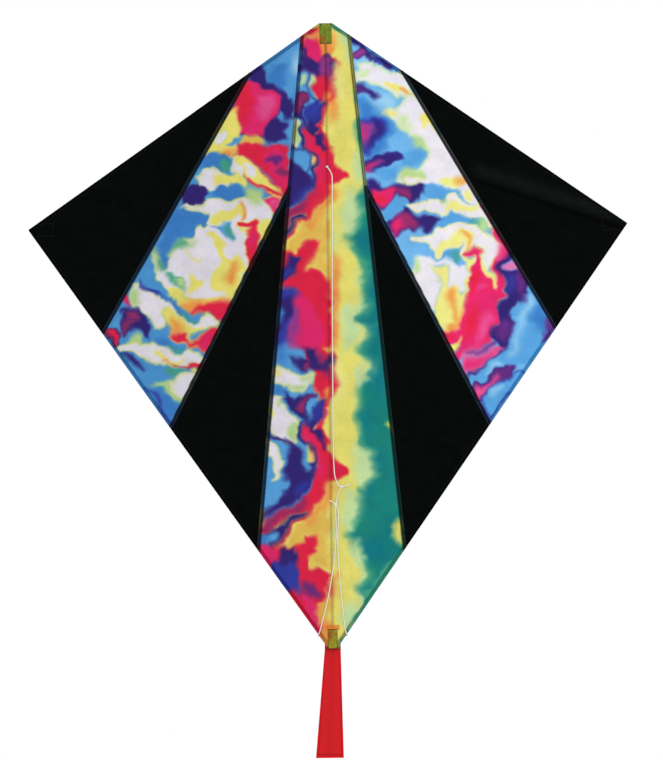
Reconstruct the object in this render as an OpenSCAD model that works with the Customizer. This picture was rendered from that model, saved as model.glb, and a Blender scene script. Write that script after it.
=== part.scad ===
// Diamond kite, 30 inch class: a sewn cloth sail on a fibreglass spine and a
// two-piece cross spar, with a bridle on the face and a ribbon tail.
// +X is the kite's own right as seen from the face, +Y points out of the back,
// +Z is towards the nose. The origin is the middle of the centre fitting,
// on the axis of the spine and at the height of the cross spar.

/* [Sail outline] */
// Height of the nose above the cross spar
nose_z = 248; // [230:1:270]
// Depth of the bottom end below the cross spar
bottom_z = 514; // [490:1:540]
// Half of the span from wing tip to wing tip
half_span = 365; // [345:1:385]
// Half width of the cut across the nose
nose_half = 7.5; // [7:0.1:9]
// Half width of the cut across the bottom end
bottom_half = 7.7; // [7:0.1:9]
// Height over the bottom end at which the trailing edges start
bottom_rise = 6.5; // [5:0.5:8]
// Half width of the sail where the trailing edges start
bottom_wide = 9.8; // [9:0.1:11]

/* [Sail panels] */
// Thickness of the sail cloth as drawn
cloth_t = 0.3; // [0.2:0.05:0.4]
// Gap between the axis of the spine and the back of the sail
sail_back = 3.1; // [3:0.1:3.6]
// Width of the folded hem along every outer edge
hem_w = 4.5; // [3:0.5:6]
// Half width of the middle strip of the centre panel, out to the fold lines
fold_x = 18; // [17:0.5:20]
// Distance of the centre seam from the spine at the leading edge
centre_seam_top = 28.4; // [26:0.2:32]
// Distance of the centre seam from the spine at the trailing edge
centre_seam_low = 89; // [80:1:95]
// Distance of the outer seam from the spine at the leading edge
outer_seam_top = 92; // [85:1:100]
// Distance of the outer seam from the spine at the trailing edge
outer_seam_low = 276; // [260:1:285]
// Height on the centre seam at which the inner seam starts
inner_seam_z = 49; // [40:1:60]
// Distance of the inner seam from the spine at the trailing edge
inner_seam_low = 195; // [180:1:205]

/* [Frame] */
// Diameter of the spine and of the cross spar
rod_d = 3; // [2.8:0.1:3.2]
// Outer diameter of the vinyl end caps
cap_d = 4; // [3.8:0.1:4.2]
// Length of an end cap
cap_l = 12; // [8:1:14]
// Diameter of the vinyl arms of the centre fitting
arm_d = 6; // [5.6:0.2:6.2]
// Distance from the spine to the outer end of an arm
arm_end = 36; // [32:1:44]
// Half length of the sleeve on the spine
sleeve_half = 15; // [12:1:20]

/* [Pockets] */
// Length of the nose pocket
nose_pocket_l = 24.6; // [22:0.2:28]
// Length of the pocket at the bottom end
bottom_pocket_l = 22.5; // [20:0.5:26]
// Half width of the bottom pocket
bottom_pocket_half = 5.5; // [5:0.1:6.5]
// Length of a wing tip pocket
tip_pocket_l = 27; // [22:1:32]
// Half width of a wing tip pocket
tip_pocket_half = 9; // [7:0.5:11]

/* [Bridle] */
// Diameter of the bridle line
line_d = 1.4; // [1.2:0.1:1.5]
// Height of the bridle hole over the cross spar
hole_z = 73; // [70:1:76]
// Diameter of the bridle hole in the sail
hole_d = 4.4; // [4:0.2:5]
// Diameter of a bridle knot
knot_d = 4.2; // [3.8:0.2:4.6]

/* [Tail] */
// Thickness of the tail cloth as drawn
tail_t = 0.4; // [0.3:0.05:0.5]
// Length of the tail below the fold at the end of the sail
tail_l = 133; // [100:1:200]
// Half width of the tail at the top
tail_top_half = 9.7; // [8:0.1:12]
// Width of the tail at its free end
tail_low_w = 34; // [25:1:40]
// How far the middle of the free end lies to the left
tail_skew = 5; // [0:0.5:8]

/* [Hidden] */
$fn = 48;

LEFT = -1;
RIGHT = 1;
rod_r = rod_d / 2;
cap_r = cap_d / 2;
arm_r = arm_d / 2;
line_r = line_d / 2;
slack = 0.02;              // radial room between a rod and what sits on it
fold_gap = 0.15;           // half of the room along each fold line
pocket_t = 0.42;           // thickness of a pocket's cloth
trail_z = -bottom_z + bottom_rise;

// The outer edges and the seams as lines in the plane of the sail, each a point
// and a direction, as (distance from the spine, height).
lead = [[nose_half, nose_z], [half_span - nose_half, -nose_z]];
trail = [[bottom_wide, trail_z], [half_span - bottom_wide, -trail_z]];
function lead_z(x) = nose_z - (x - nose_half) * nose_z / (half_span - nose_half);
function trail_z_at(x) = trail_z - (x - bottom_wide) * trail_z / (half_span - bottom_wide);
function meet(a, b) =
    let (n = [-b[1][1], b[1][0]])
    a[0] + a[1] * (((b[0] - a[0]) * n) / (a[1] * n));

seam_c0 = [centre_seam_top, lead_z(centre_seam_top)];
seam_c1 = [centre_seam_low, trail_z_at(centre_seam_low)];
seam_o0 = [outer_seam_top, lead_z(outer_seam_top)];
seam_o1 = [outer_seam_low, trail_z_at(outer_seam_low)];
seam_i0 = meet([seam_c0, seam_c1 - seam_c0], [[0, inner_seam_z], [1, 0]]);
seam_i1 = [inner_seam_low, trail_z_at(inner_seam_low)];
tip = [half_span, 0];
fold_in = fold_x - fold_gap;
fold_out = fold_x + fold_gap;

half_outline = [
    [0, nose_z], [nose_half, nose_z], tip, [bottom_wide, trail_z],
    [bottom_half, -bottom_z], [0, -bottom_z]
];

// A flat sheet of cloth from points (distance from the spine, height).
// Its back face lies at y = back.
module sheet(pts, side = RIGHT, back = -sail_back, t = cloth_t)
    translate([0, back, 0]) rotate([90, 0, 0])
        linear_extrude(t) polygon([for (p = pts) [side * p[0], p[1]]]);

// The folded hem is a second layer on the back, along the outer edges of a panel.
module hem_band(side)
    translate([0, -sail_back + cloth_t, 0]) rotate([90, 0, 0]) linear_extrude(cloth_t)
        polygon([for (p = [
            tip, [bottom_wide, trail_z],
            [bottom_wide, trail_z] + hem_w * [-trail_d[1], trail_d[0]],
            meet([lead[0] + hem_w * lead_n, lead[1]], [trail[0] + hem_w * trail_n, trail[1]]),
            [nose_half, nose_z] + hem_w * lead_n, [nose_half, nose_z]
        ]) [side * p[0], p[1]]]);
lead_u = lead[1] / norm(lead[1]);
trail_d = trail[1] / norm(trail[1]);
lead_n = [lead_u[1], -lead_u[0]];
trail_n = [-trail_d[1], trail_d[0]];

// A panel of the sail: its face layer, with the hem where it reaches an outer edge.
module panel(pts, side = RIGHT) {
    sheet(pts, side);
    intersection() {
        hem_band(side);
        sheet(pts, side, -sail_back + cloth_t + 1, cloth_t + 2);
    }
}

// A cloth pouch on the back of the sail: flat flanges sewn down on both sides of a
// raised channel that runs up from z = 0 and is closed at z = len.
module pouch(len, half_w, front) {
    difference() {
        linear_extrude(len) intersection() {
            union() {
                circle(cap_r + 0.04 + pocket_t);
                translate([-half_w, front]) square([2 * half_w, pocket_t]);
                translate([-cap_r - 0.04 - pocket_t, front])
                    square([2 * (cap_r + 0.04 + pocket_t), -front]);
            }
            translate([-20, front]) square([40, 20]);
        }
        translate([0, 0, -1]) linear_extrude(len - 0.4) union() {
            circle(cap_r + 0.04);
            translate([-cap_r - 0.04, front - 1]) square([2 * (cap_r + 0.04), 1 - front]);
        }
    }
}

// A soft vinyl cap that is closed at z = cap_l and open at z = 0.
module end_cap() difference() {
    union() {
        cylinder(h = cap_l - 0.6, r = cap_r);
        translate([0, 0, cap_l - 0.6]) cylinder(h = 0.6, r = cap_r - 0.35);
    }
    translate([0, 0, -1]) cylinder(h = cap_l, r = rod_r + slack);
}

// Points of a smooth curve through hand-set points, n steps to each span.
function bez(p0, p1, p2, p3, t) =
    0.5 * (2 * p1 + (p2 - p0) * t + (2 * p0 - 5 * p1 + 4 * p2 - p3) * t * t
           + (3 * p1 - p0 - 3 * p2 + p3) * t * t * t);
function smooth(p, n) = concat(
    [for (i = [0 : len(p) - 2], k = [0 : n - 1])
        bez(p[max(i - 1, 0)], p[i], p[i + 1], p[min(i + 2, len(p) - 1)], k / n)],
    [p[len(p) - 1]]);
function unit(v) = v / norm(v);
function dirs(p) = [for (i = [0 : len(p) - 1])
    unit(p[min(i + 1, len(p) - 1)] - p[max(i - 1, 0)])];
function carried(t, i, u) = i >= len(t) ? [] :
    let (w = unit(u - (u * t[i]) * t[i])) concat([w], carried(t, i + 1, w));

// A cord of round section along a route, with eight sides.
module cord(route, n, r = line_r) {
    p = smooth(route, n);
    t = dirs(p);
    u = carried(t, 0, [0.1, 1, 0.2]);
    m = len(p);
    pts = [for (i = [0 : m - 1], k = [0 : 7])
        p[i] + r * (cos(45 * k) * u[i] + sin(45 * k) * cross(t[i], u[i]))];
    faces = concat(
        [[for (k = [0 : 7]) k]],
        [for (i = [0 : m - 2], k = [0 : 7])
            [8 * i + k, 8 * i + 8 + k, 8 * i + 8 + (k + 1) % 8, 8 * i + (k + 1) % 8]],
        [[for (k = [7 : -1 : 0]) 8 * (m - 1) + k]]);
    polyhedron(pts, faces);
}

// The routes of the bridle line, from the spine out through the hole in the sail,
// down the face to the upper knot, on to the lower knot, and then as two legs round
// the trailing edges to the foot of the spine.
upper_route = [
    [0, -2.3, 73], [0.3, -3.6, 72.6], [2.8, -4.5, 69], [5.2, -4.4, 64], [6, -4.3, 56],
    [5.6, -4.3, 20], [4.9, -4.3, -40], [4.3, -4.3, -100], [3.9, -4.3, -160],
    [3.6, -4.3, -220], [3.5, -4.3, -266], [4.3, -4.5, -297], [6.2, -4.9, -308.5],
    [9.4, -5.5, -315.6], [12.6, -5.7, -317]
];
upper_knot_at = [13, -5.7, -317];
upper_tag = [[14, -5.7, -317], [18, -5.4, -316], [24.5, -4.6, -313.8]];
link_route = [[12.6, -5.7, -318], [11.4, -5.4, -320], [8.4, -5.0, -327], [6.6, -5.3, -334.5], [5.8, -5.6, -337.5]];
lower_knot_at = [5.6, -5.7, -338.4];
lower_tag = [[4.8, -5.7, -337.8], [2.6, -5.4, -336], [-0.6, -4.7, -334.4]];
leg_left_route = [
    [5.0, -5.6, -339.6], [5.5, -4.6, -351], [5.8, -4.3, -376], [2.9, -4.3, -408],
    [-4.5, -4.3, -450], [-12.5, -4.3, -482], [-15.8, -4.4, -494], [-18.0, -3.4, -498.2],
    [-16.6, -1.6, -498.6], [-11, -0.8, -495.5], [-5, 0.3, -490.6], [-2.4, 0.9, -487.6]
];
leg_right_route = [
    [6.4, -5.6, -339.6], [8.9, -4.6, -351], [7.5, -4.3, -376], [8.3, -4.3, -408],
    [11.2, -4.3, -450], [14.5, -4.3, -482], [16.2, -4.4, -494], [18.0, -3.4, -498.2],
    [16.6, -1.6, -498.6], [11, -0.8, -495.5], [5, 0.3, -490.6], [2.4, 0.9, -487.6]
];

// A turn of line tied round the spine.
module tie(z) translate([0, 0, z]) rotate_extrude($fn = 32)
    translate([rod_r + line_r + 0.03, 0]) circle(r = line_r, $fn = 16);

module centre_panel_middle() color([0.78, 0.25, 0.42]) {
    difference() {
        for (side = [LEFT, RIGHT])
            sheet([[-0.01 * side, nose_z], [nose_half, nose_z], [fold_in, lead_z(fold_in)],
                   [fold_in, trail_z_at(fold_in)], [bottom_wide, trail_z],
                   [bottom_half, -bottom_z], [-0.01 * side, -bottom_z]], side);
        translate([0, -sail_back + 1, hole_z]) rotate([90, 0, 0]) cylinder(h = 3, d = hole_d);
    }
}
module nose_pocket() color([0.10, 0.11, 0.07])
    translate([0, 0, nose_z - nose_pocket_l]) pouch(nose_pocket_l, nose_half, -sail_back);
module bottom_pocket() color([0.10, 0.11, 0.07])
    translate([0, 0, -bottom_z + bottom_pocket_l]) mirror([0, 0, 1])
        pouch(bottom_pocket_l, bottom_pocket_half, -sail_back);
module spine_rod() color([0.12, 0.12, 0.13])
    translate([0, 0, -bottom_z + 2.7]) cylinder(h = bottom_z + nose_z - 5.4, r = rod_r);
module spine_cap_nose() color([0.05, 0.05, 0.05])
    translate([0, 0, nose_z - 1.6 - cap_l]) end_cap();
module spine_cap_bottom() color([0.05, 0.05, 0.05])
    translate([0, 0, -bottom_z + 1.6 + cap_l]) mirror([0, 0, 1]) end_cap();

module flat_front() intersection() {
    children();
    translate([-50, -sail_back + 0.1, -50]) cube([100, 50, 100]);
}
module centre_fitting() color([0.06, 0.06, 0.07]) flat_front() difference() {
    union() {
        translate([0, 0, -sleeve_half]) cylinder(h = 2 * sleeve_half, r = arm_r + 0.4);
        rotate([0, 90, 0]) translate([0, 0, -(fold_x - 2.4)]) cylinder(h = 2 * (fold_x - 2.4), r = arm_r);
        for (side = [LEFT, RIGHT], up = [-1, 1])
            translate([0, 0.9, 0]) rotate([90, 0, 0]) linear_extrude(1.8)
                polygon([[0, 0], [side * 14, 0], [side * 13, up * 3.5], [side * 4.5, up * 12], [0, up * 13]]);
    }
    translate([0, 0, -50]) cylinder(h = 100, r = rod_r + slack);
}
// One flexible arm of the fitting: a rounded root at the fold line and a socket for the spar.
module fitting_arm(side) color([0.06, 0.06, 0.07]) flat_front() difference() {
    union() {
        translate([side * fold_x, 0, -2.5]) cylinder(h = 5, r = 2.2);
        translate([side * (fold_x + 1.5), 0, 0]) cube([3.4, 3.2, 5], center = true);
        translate([side * (fold_x + 2), 0, 0]) rotate([0, side * 90, 0])
            cylinder(h = arm_end - fold_x - 2, r = arm_r);
    }
    translate([side * (fold_x + 4), 0, 0]) rotate([0, side * 90, 0])
        cylinder(h = arm_end, r = rod_r + slack);
}
module spar(side) color([0.12, 0.12, 0.13])
    translate([side * (fold_x + 4.1), 0, 0]) rotate([0, side * 90, 0])
        cylinder(h = half_span - 6.3 - fold_x - 4.1, r = rod_r);
module spar_cap(side) color([0.05, 0.05, 0.05])
    translate([side * (half_span - 5.2 - cap_l), 0, 0]) rotate([0, side * 90, 0]) end_cap();
module tip_pocket(side) color([0.03, 0.03, 0.03]) intersection() {
    translate([side * (half_span - 3.6 - tip_pocket_l), 0, 0]) rotate([0, side * 90, 0])
        rotate([0, 0, side * 0]) pouch(tip_pocket_l, tip_pocket_half, -sail_back + cloth_t + 0.01);
    translate([0, 20, 0]) rotate([90, 0, 0]) linear_extrude(40)
        polygon([for (p = [tip - [0.8, 0], [200, lead_z(200) - 1], [200, trail_z_at(200) + 1.5]])
            [side * p[0], p[1]]]);
}

module centre_panel(side) color([0.16, 0.45, 0.62])
    panel([[fold_out, lead_z(fold_out)], seam_c0, seam_c1, [fold_out, trail_z_at(fold_out)]], side);
module print_panel(side) color([0.80, 0.30, 0.50])
    panel([seam_c0, seam_o0, seam_o1, seam_i1, seam_i0], side);
module black_tip(side) color([0.02, 0.02, 0.02]) panel([seam_o0, tip, seam_o1], side);
module black_gore(side) color([0.02, 0.02, 0.02]) panel([seam_i0, seam_i1, seam_c1], side);

module bridle_top_tie() color([0.93, 0.92, 0.86]) tie(hole_z);
module bridle_bottom_tie() color([0.93, 0.92, 0.86]) tie(-487);
module bridle_upper_line() color([0.93, 0.92, 0.86]) cord(upper_route, 3);
module bridle_link_line() color([0.93, 0.92, 0.86]) cord(link_route, 2);
module bridle_upper_knot() color([0.93, 0.92, 0.86]) {
    translate(upper_knot_at) sphere(d = knot_d, $fn = 24);
    cord(upper_tag, 2);
}
module bridle_lower_knot() color([0.93, 0.92, 0.86]) {
    translate(lower_knot_at) sphere(d = knot_d, $fn = 24);
    cord(lower_tag, 2);
}
module bridle_leg_left() color([0.93, 0.92, 0.86]) cord(leg_left_route, 2);
module bridle_leg_right() color([0.93, 0.92, 0.86]) cord(leg_right_route, 2);

tail_y = 2.5 + tail_t / 2;
tail_fold_z = -bottom_z - 1.1;
module tail_tab() color([0.80, 0.12, 0.15])
    sheet([[-tail_top_half, -bottom_z - 0.6], [tail_top_half, -bottom_z - 0.6],
           [tail_top_half - 0.6, -bottom_z + 23.5], [-tail_top_half + 0.6, -bottom_z + 23.5]],
          RIGHT, tail_y + tail_t / 2, tail_t);
module tail_ribbon() color([0.80, 0.12, 0.15]) {
    translate([-tail_top_half, tail_y, tail_fold_z]) rotate([0, 90, 0])
        cylinder(h = 2 * tail_top_half, r = 0.4, $fn = 24);
    sheet([[-tail_top_half, tail_fold_z], [tail_top_half, tail_fold_z],
           [tail_low_w / 2 - tail_skew, tail_fold_z - tail_l],
           [-tail_low_w / 2 - tail_skew, tail_fold_z - tail_l]],
          RIGHT, tail_y + tail_t / 2, tail_t);
    sheet([[tail_low_w / 2 - tail_skew - 0.3, tail_fold_z - tail_l + 3.5],
           [tail_low_w / 2 - tail_skew, tail_fold_z - tail_l],
           [-tail_low_w / 2 - tail_skew, tail_fold_z - tail_l],
           [-tail_low_w / 2 - tail_skew + 0.3, tail_fold_z - tail_l + 3.5]],
          RIGHT, tail_y + tail_t / 2 + 0.3, tail_t + 0.3);
}

centre_panel_middle();
nose_pocket();
bottom_pocket();
spine_rod();
spine_cap_nose();
spine_cap_bottom();
centre_fitting();
bridle_top_tie();
bridle_upper_line();
bridle_upper_knot();
bridle_link_line();
bridle_lower_knot();
bridle_leg_left();
bridle_leg_right();
bridle_bottom_tie();
tail_tab();
centre_panel(LEFT);  // centre_panel_left
print_panel(LEFT);  // print_panel_left
black_tip(LEFT);  // black_tip_left
black_gore(LEFT);  // black_gore_left
tip_pocket(LEFT);  // tip_pocket_left
spar(LEFT);  // spar_left
spar_cap(LEFT);  // spar_cap_left
fitting_arm(LEFT);  // fitting_arm_left
centre_panel(RIGHT);  // centre_panel_right
print_panel(RIGHT);  // print_panel_right
black_tip(RIGHT);  // black_tip_right
black_gore(RIGHT);  // black_gore_right
tip_pocket(RIGHT);  // tip_pocket_right
spar(RIGHT);  // spar_right
spar_cap(RIGHT);  // spar_cap_right
fitting_arm(RIGHT);  // fitting_arm_right
tail_ribbon();
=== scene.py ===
import math

import bpy
import numpy as np
from mathutils import Matrix, Vector
from mathutils.geometry import delaunay_2d_cdt


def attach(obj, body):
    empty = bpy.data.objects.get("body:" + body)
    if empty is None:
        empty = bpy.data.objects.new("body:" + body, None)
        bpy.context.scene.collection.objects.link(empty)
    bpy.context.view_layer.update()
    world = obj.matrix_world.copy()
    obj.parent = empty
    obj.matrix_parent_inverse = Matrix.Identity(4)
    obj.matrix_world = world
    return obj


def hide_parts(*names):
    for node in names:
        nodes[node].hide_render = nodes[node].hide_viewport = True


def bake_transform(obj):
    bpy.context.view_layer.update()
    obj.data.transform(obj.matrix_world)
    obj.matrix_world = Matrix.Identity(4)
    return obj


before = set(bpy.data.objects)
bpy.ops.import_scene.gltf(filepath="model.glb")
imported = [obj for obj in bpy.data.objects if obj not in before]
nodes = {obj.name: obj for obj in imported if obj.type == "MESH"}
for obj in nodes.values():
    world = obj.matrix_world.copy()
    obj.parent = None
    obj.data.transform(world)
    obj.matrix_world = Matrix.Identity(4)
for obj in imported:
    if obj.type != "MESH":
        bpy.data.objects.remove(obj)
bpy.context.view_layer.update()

MM = 0.001

# ---------------------------------------------------------------- camera
ROLL = math.radians(0.67)
VIEW = (2.3, -187.0)          # what the middle of the frame looks at, x and z in mm
TALL = 926.4                  # mm of the sail plane that the frame's height covers
FAR = 6000.0
cam_data = bpy.data.cameras.new("camera")
cam_data.sensor_width = 36.0
cam_data.lens = 36.0 * (FAR - 3.4) / TALL
cam_data.clip_start, cam_data.clip_end = 0.05, 100.0
cam = bpy.data.objects.new("camera", cam_data)
bpy.context.scene.collection.objects.link(cam)
cr, sr = math.cos(ROLL), math.sin(ROLL)
cam.matrix_world = Matrix(((cr, sr, 0, VIEW[0] * MM), (0, 0, -1, -FAR * MM),
                           (-sr, cr, 0, VIEW[1] * MM), (0, 0, 0, 1)))
bpy.context.scene.camera = cam

# ---------------------------------------------------------------- numbers of the kite, mm
NOSE_Z, BOTTOM_Z, HALF = 248.0, 514.0, 365.0
NOSE_X, LOW_X, FLAT_X = 7.5, 9.8, 7.7
TRAIL_Z = -507.5
SHEET_Y, CLOTH = -3.25, 0.3
HEM = 4.5


def lead_z(x):
    return NOSE_Z - (x - NOSE_X) * NOSE_Z / (HALF - NOSE_X)


def trail_z(x):
    return TRAIL_Z - (x - LOW_X) * TRAIL_Z / (HALF - LOW_X)


A_TOP = (28.4, lead_z(28.4)); A_LOW = (89.0, trail_z(89.0))       # centre seam
B_TOP = (92.0, lead_z(92.0)); B_LOW = (276.0, trail_z(276.0))     # outer seam
I_LOW = (195.0, trail_z(195.0))                                   # inner seam
I_TOP = (A_TOP[0] + (A_TOP[1] - 49.0) * (A_LOW[0] - A_TOP[0]) / (A_TOP[1] - A_LOW[1]), 49.0)


def step(a, b, v):
    t = np.clip((v - a) / (b - a), 0, 1)
    return t * t * (3 - 2 * t)


def line_side(p, q, x, z):
    """signed distance of (x, z) to the line p-q, positive on its left"""
    dx, dz = q[0] - p[0], q[1] - p[1]
    n = math.hypot(dx, dz)
    return (dx * (z - p[1]) - dz * (x - p[0])) / n


_r = np.random.RandomState(11).rand(8, 64, 64)


def vnoise(x, z, ch=0):
    xi, zi = np.floor(x).astype(int), np.floor(z).astype(int)
    fx, fz = x - xi, z - zi
    fx, fz = fx * fx * (3 - 2 * fx), fz * fz * (3 - 2 * fz)
    t = _r[ch % 8]
    a, b = t[xi % 64, zi % 64], t[(xi + 1) % 64, zi % 64]
    c, d = t[xi % 64, (zi + 1) % 64], t[(xi + 1) % 64, (zi + 1) % 64]
    return ((a * (1 - fx) + b * fx) * (1 - fz) + (c * (1 - fx) + d * fx) * fz) * 2 - 1


def billow(x, z):
    """how far the stretched cloth stands off its plane, mm; flat along the spine, the arms and the tips"""
    ax = np.abs(x)
    keep = step(26, 75, ax) * step(352, 300, ax)
    keep = keep * (1 - 0.75 * np.exp(-(z / 14.0) ** 2))
    s = np.where(x > 0, 1.0, 0.63)
    wide = 0.75 * np.sin(0.021 * ax + 0.013 * z * s + 0.6) + 0.35 * np.sin(0.033 * z - 0.017 * ax * s)
    rr = np.hypot(HALF - ax, z)
    ang = np.arctan2(z, HALF - ax + 1e-6)
    pull = 0.34 * np.sin(ang * 21 + 1.3 * s) * np.exp(-((rr - 120) / 90.0) ** 2)
    rn = np.hypot(ax, z - NOSE_Z)
    an = np.arctan2(ax, NOSE_Z - z + 1e-6)
    pull2 = 0.22 * np.sin(an * 34 + s) * np.exp(-((rn - 190) / 90.0) ** 2)
    rb = np.hypot(ax, z + BOTTOM_Z)
    ab = np.arctan2(ax, z + BOTTOM_Z + 1e-6)
    pull3 = 0.26 * np.sin(ab * 30 + 2 * s) * np.exp(-((rb - 210) / 110.0) ** 2)
    fine = 0.16 * vnoise(x / 17.0 + 40, z / 23.0 + 40, 2)
    crease = 0.0
    if np.any(x > 0):
        d = line_side((170, 58), (318, 8), x, z)
        along = step(165, 185, x) * step(350, 300, x)
        crease = 0.5 * np.exp(-(d / 2.6) ** 2) * along * (x > 0)
    return np.clip((wide + pull + pull2 + pull3 + fine) * keep - crease, -1.3, 1.05)


def edge_in(x, z):
    """distance in from the kite's leading and trailing edges, mm"""
    ax = np.abs(x)
    a = -line_side((NOSE_X, NOSE_Z), (HALF, 0), ax, z) * -1
    a = np.abs(line_side((NOSE_X, NOSE_Z), (HALF, 0), ax, z))
    b = np.abs(line_side((LOW_X, TRAIL_Z), (HALF, 0), ax, z))
    return np.minimum(a, b), a, b


def lap(x, z):
    """how much of a two-layer seam this point is in, 0 to 1"""
    ax = np.abs(x)
    tot = np.zeros_like(ax)
    dA = line_side(A_TOP, A_LOW, ax, z)
    dB = line_side(B_TOP, B_LOW, ax, z)
    dI = line_side(I_TOP, I_LOW, ax, z)
    for d, on in ((dA, 1.0), (dB, 1.0), (dI, (dA > -3))):
        tot = np.maximum(tot, step(4.4, 2.4, np.abs(d)) * on)
    return tot


def sheet_mid(x, z):
    return SHEET_Y + billow(x, z)


# ---------------------------------------------------------------- the printed cloth
# The dyed print is laid down as soft patches. A patch is: grid, colour, softness, rim colour, rim width, points.
# A grid is its origin and its cells per unit, and one unit is 1.219 mm of sail.
GRID = {"p": (0, 0, 1), "a": (90, 200, 7.84), "b": (150, 300, 9.8), "c": (270, 190, 10.45), "d": (360, 180, 9.8),
        "e": (60, 320, 9.8), "f": (240, 330, 9.224), "g": (240, 430, 9.224), "h": (380, 290, 10.45),
        "i": (470, 230, 9.224), "j": (280, 540, 13.07)}
INK = {"W": (224, 220, 230), "Y": (230, 221, 112), "y": (232, 226, 132), "O": (236, 150, 72), "o": (226, 186, 84),
       "R": (222, 34, 68), "m": (222, 38, 104), "P": (226, 78, 142), "p": (216, 112, 172), "V": (96, 42, 124),
       "v": (140, 44, 100), "I": (48, 34, 112), "D": (48, 58, 156), "B": (58, 124, 196), "L": (84, 156, 214),
       "l": (146, 198, 232), "G": (178, 208, 138), "g": (66, 158, 132), "T": (18, 126, 126), "k": (60, 20, 40),
       "F": (206, 216, 112), "u": (150, 58, 138), "z": (196, 222, 160)}

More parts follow.
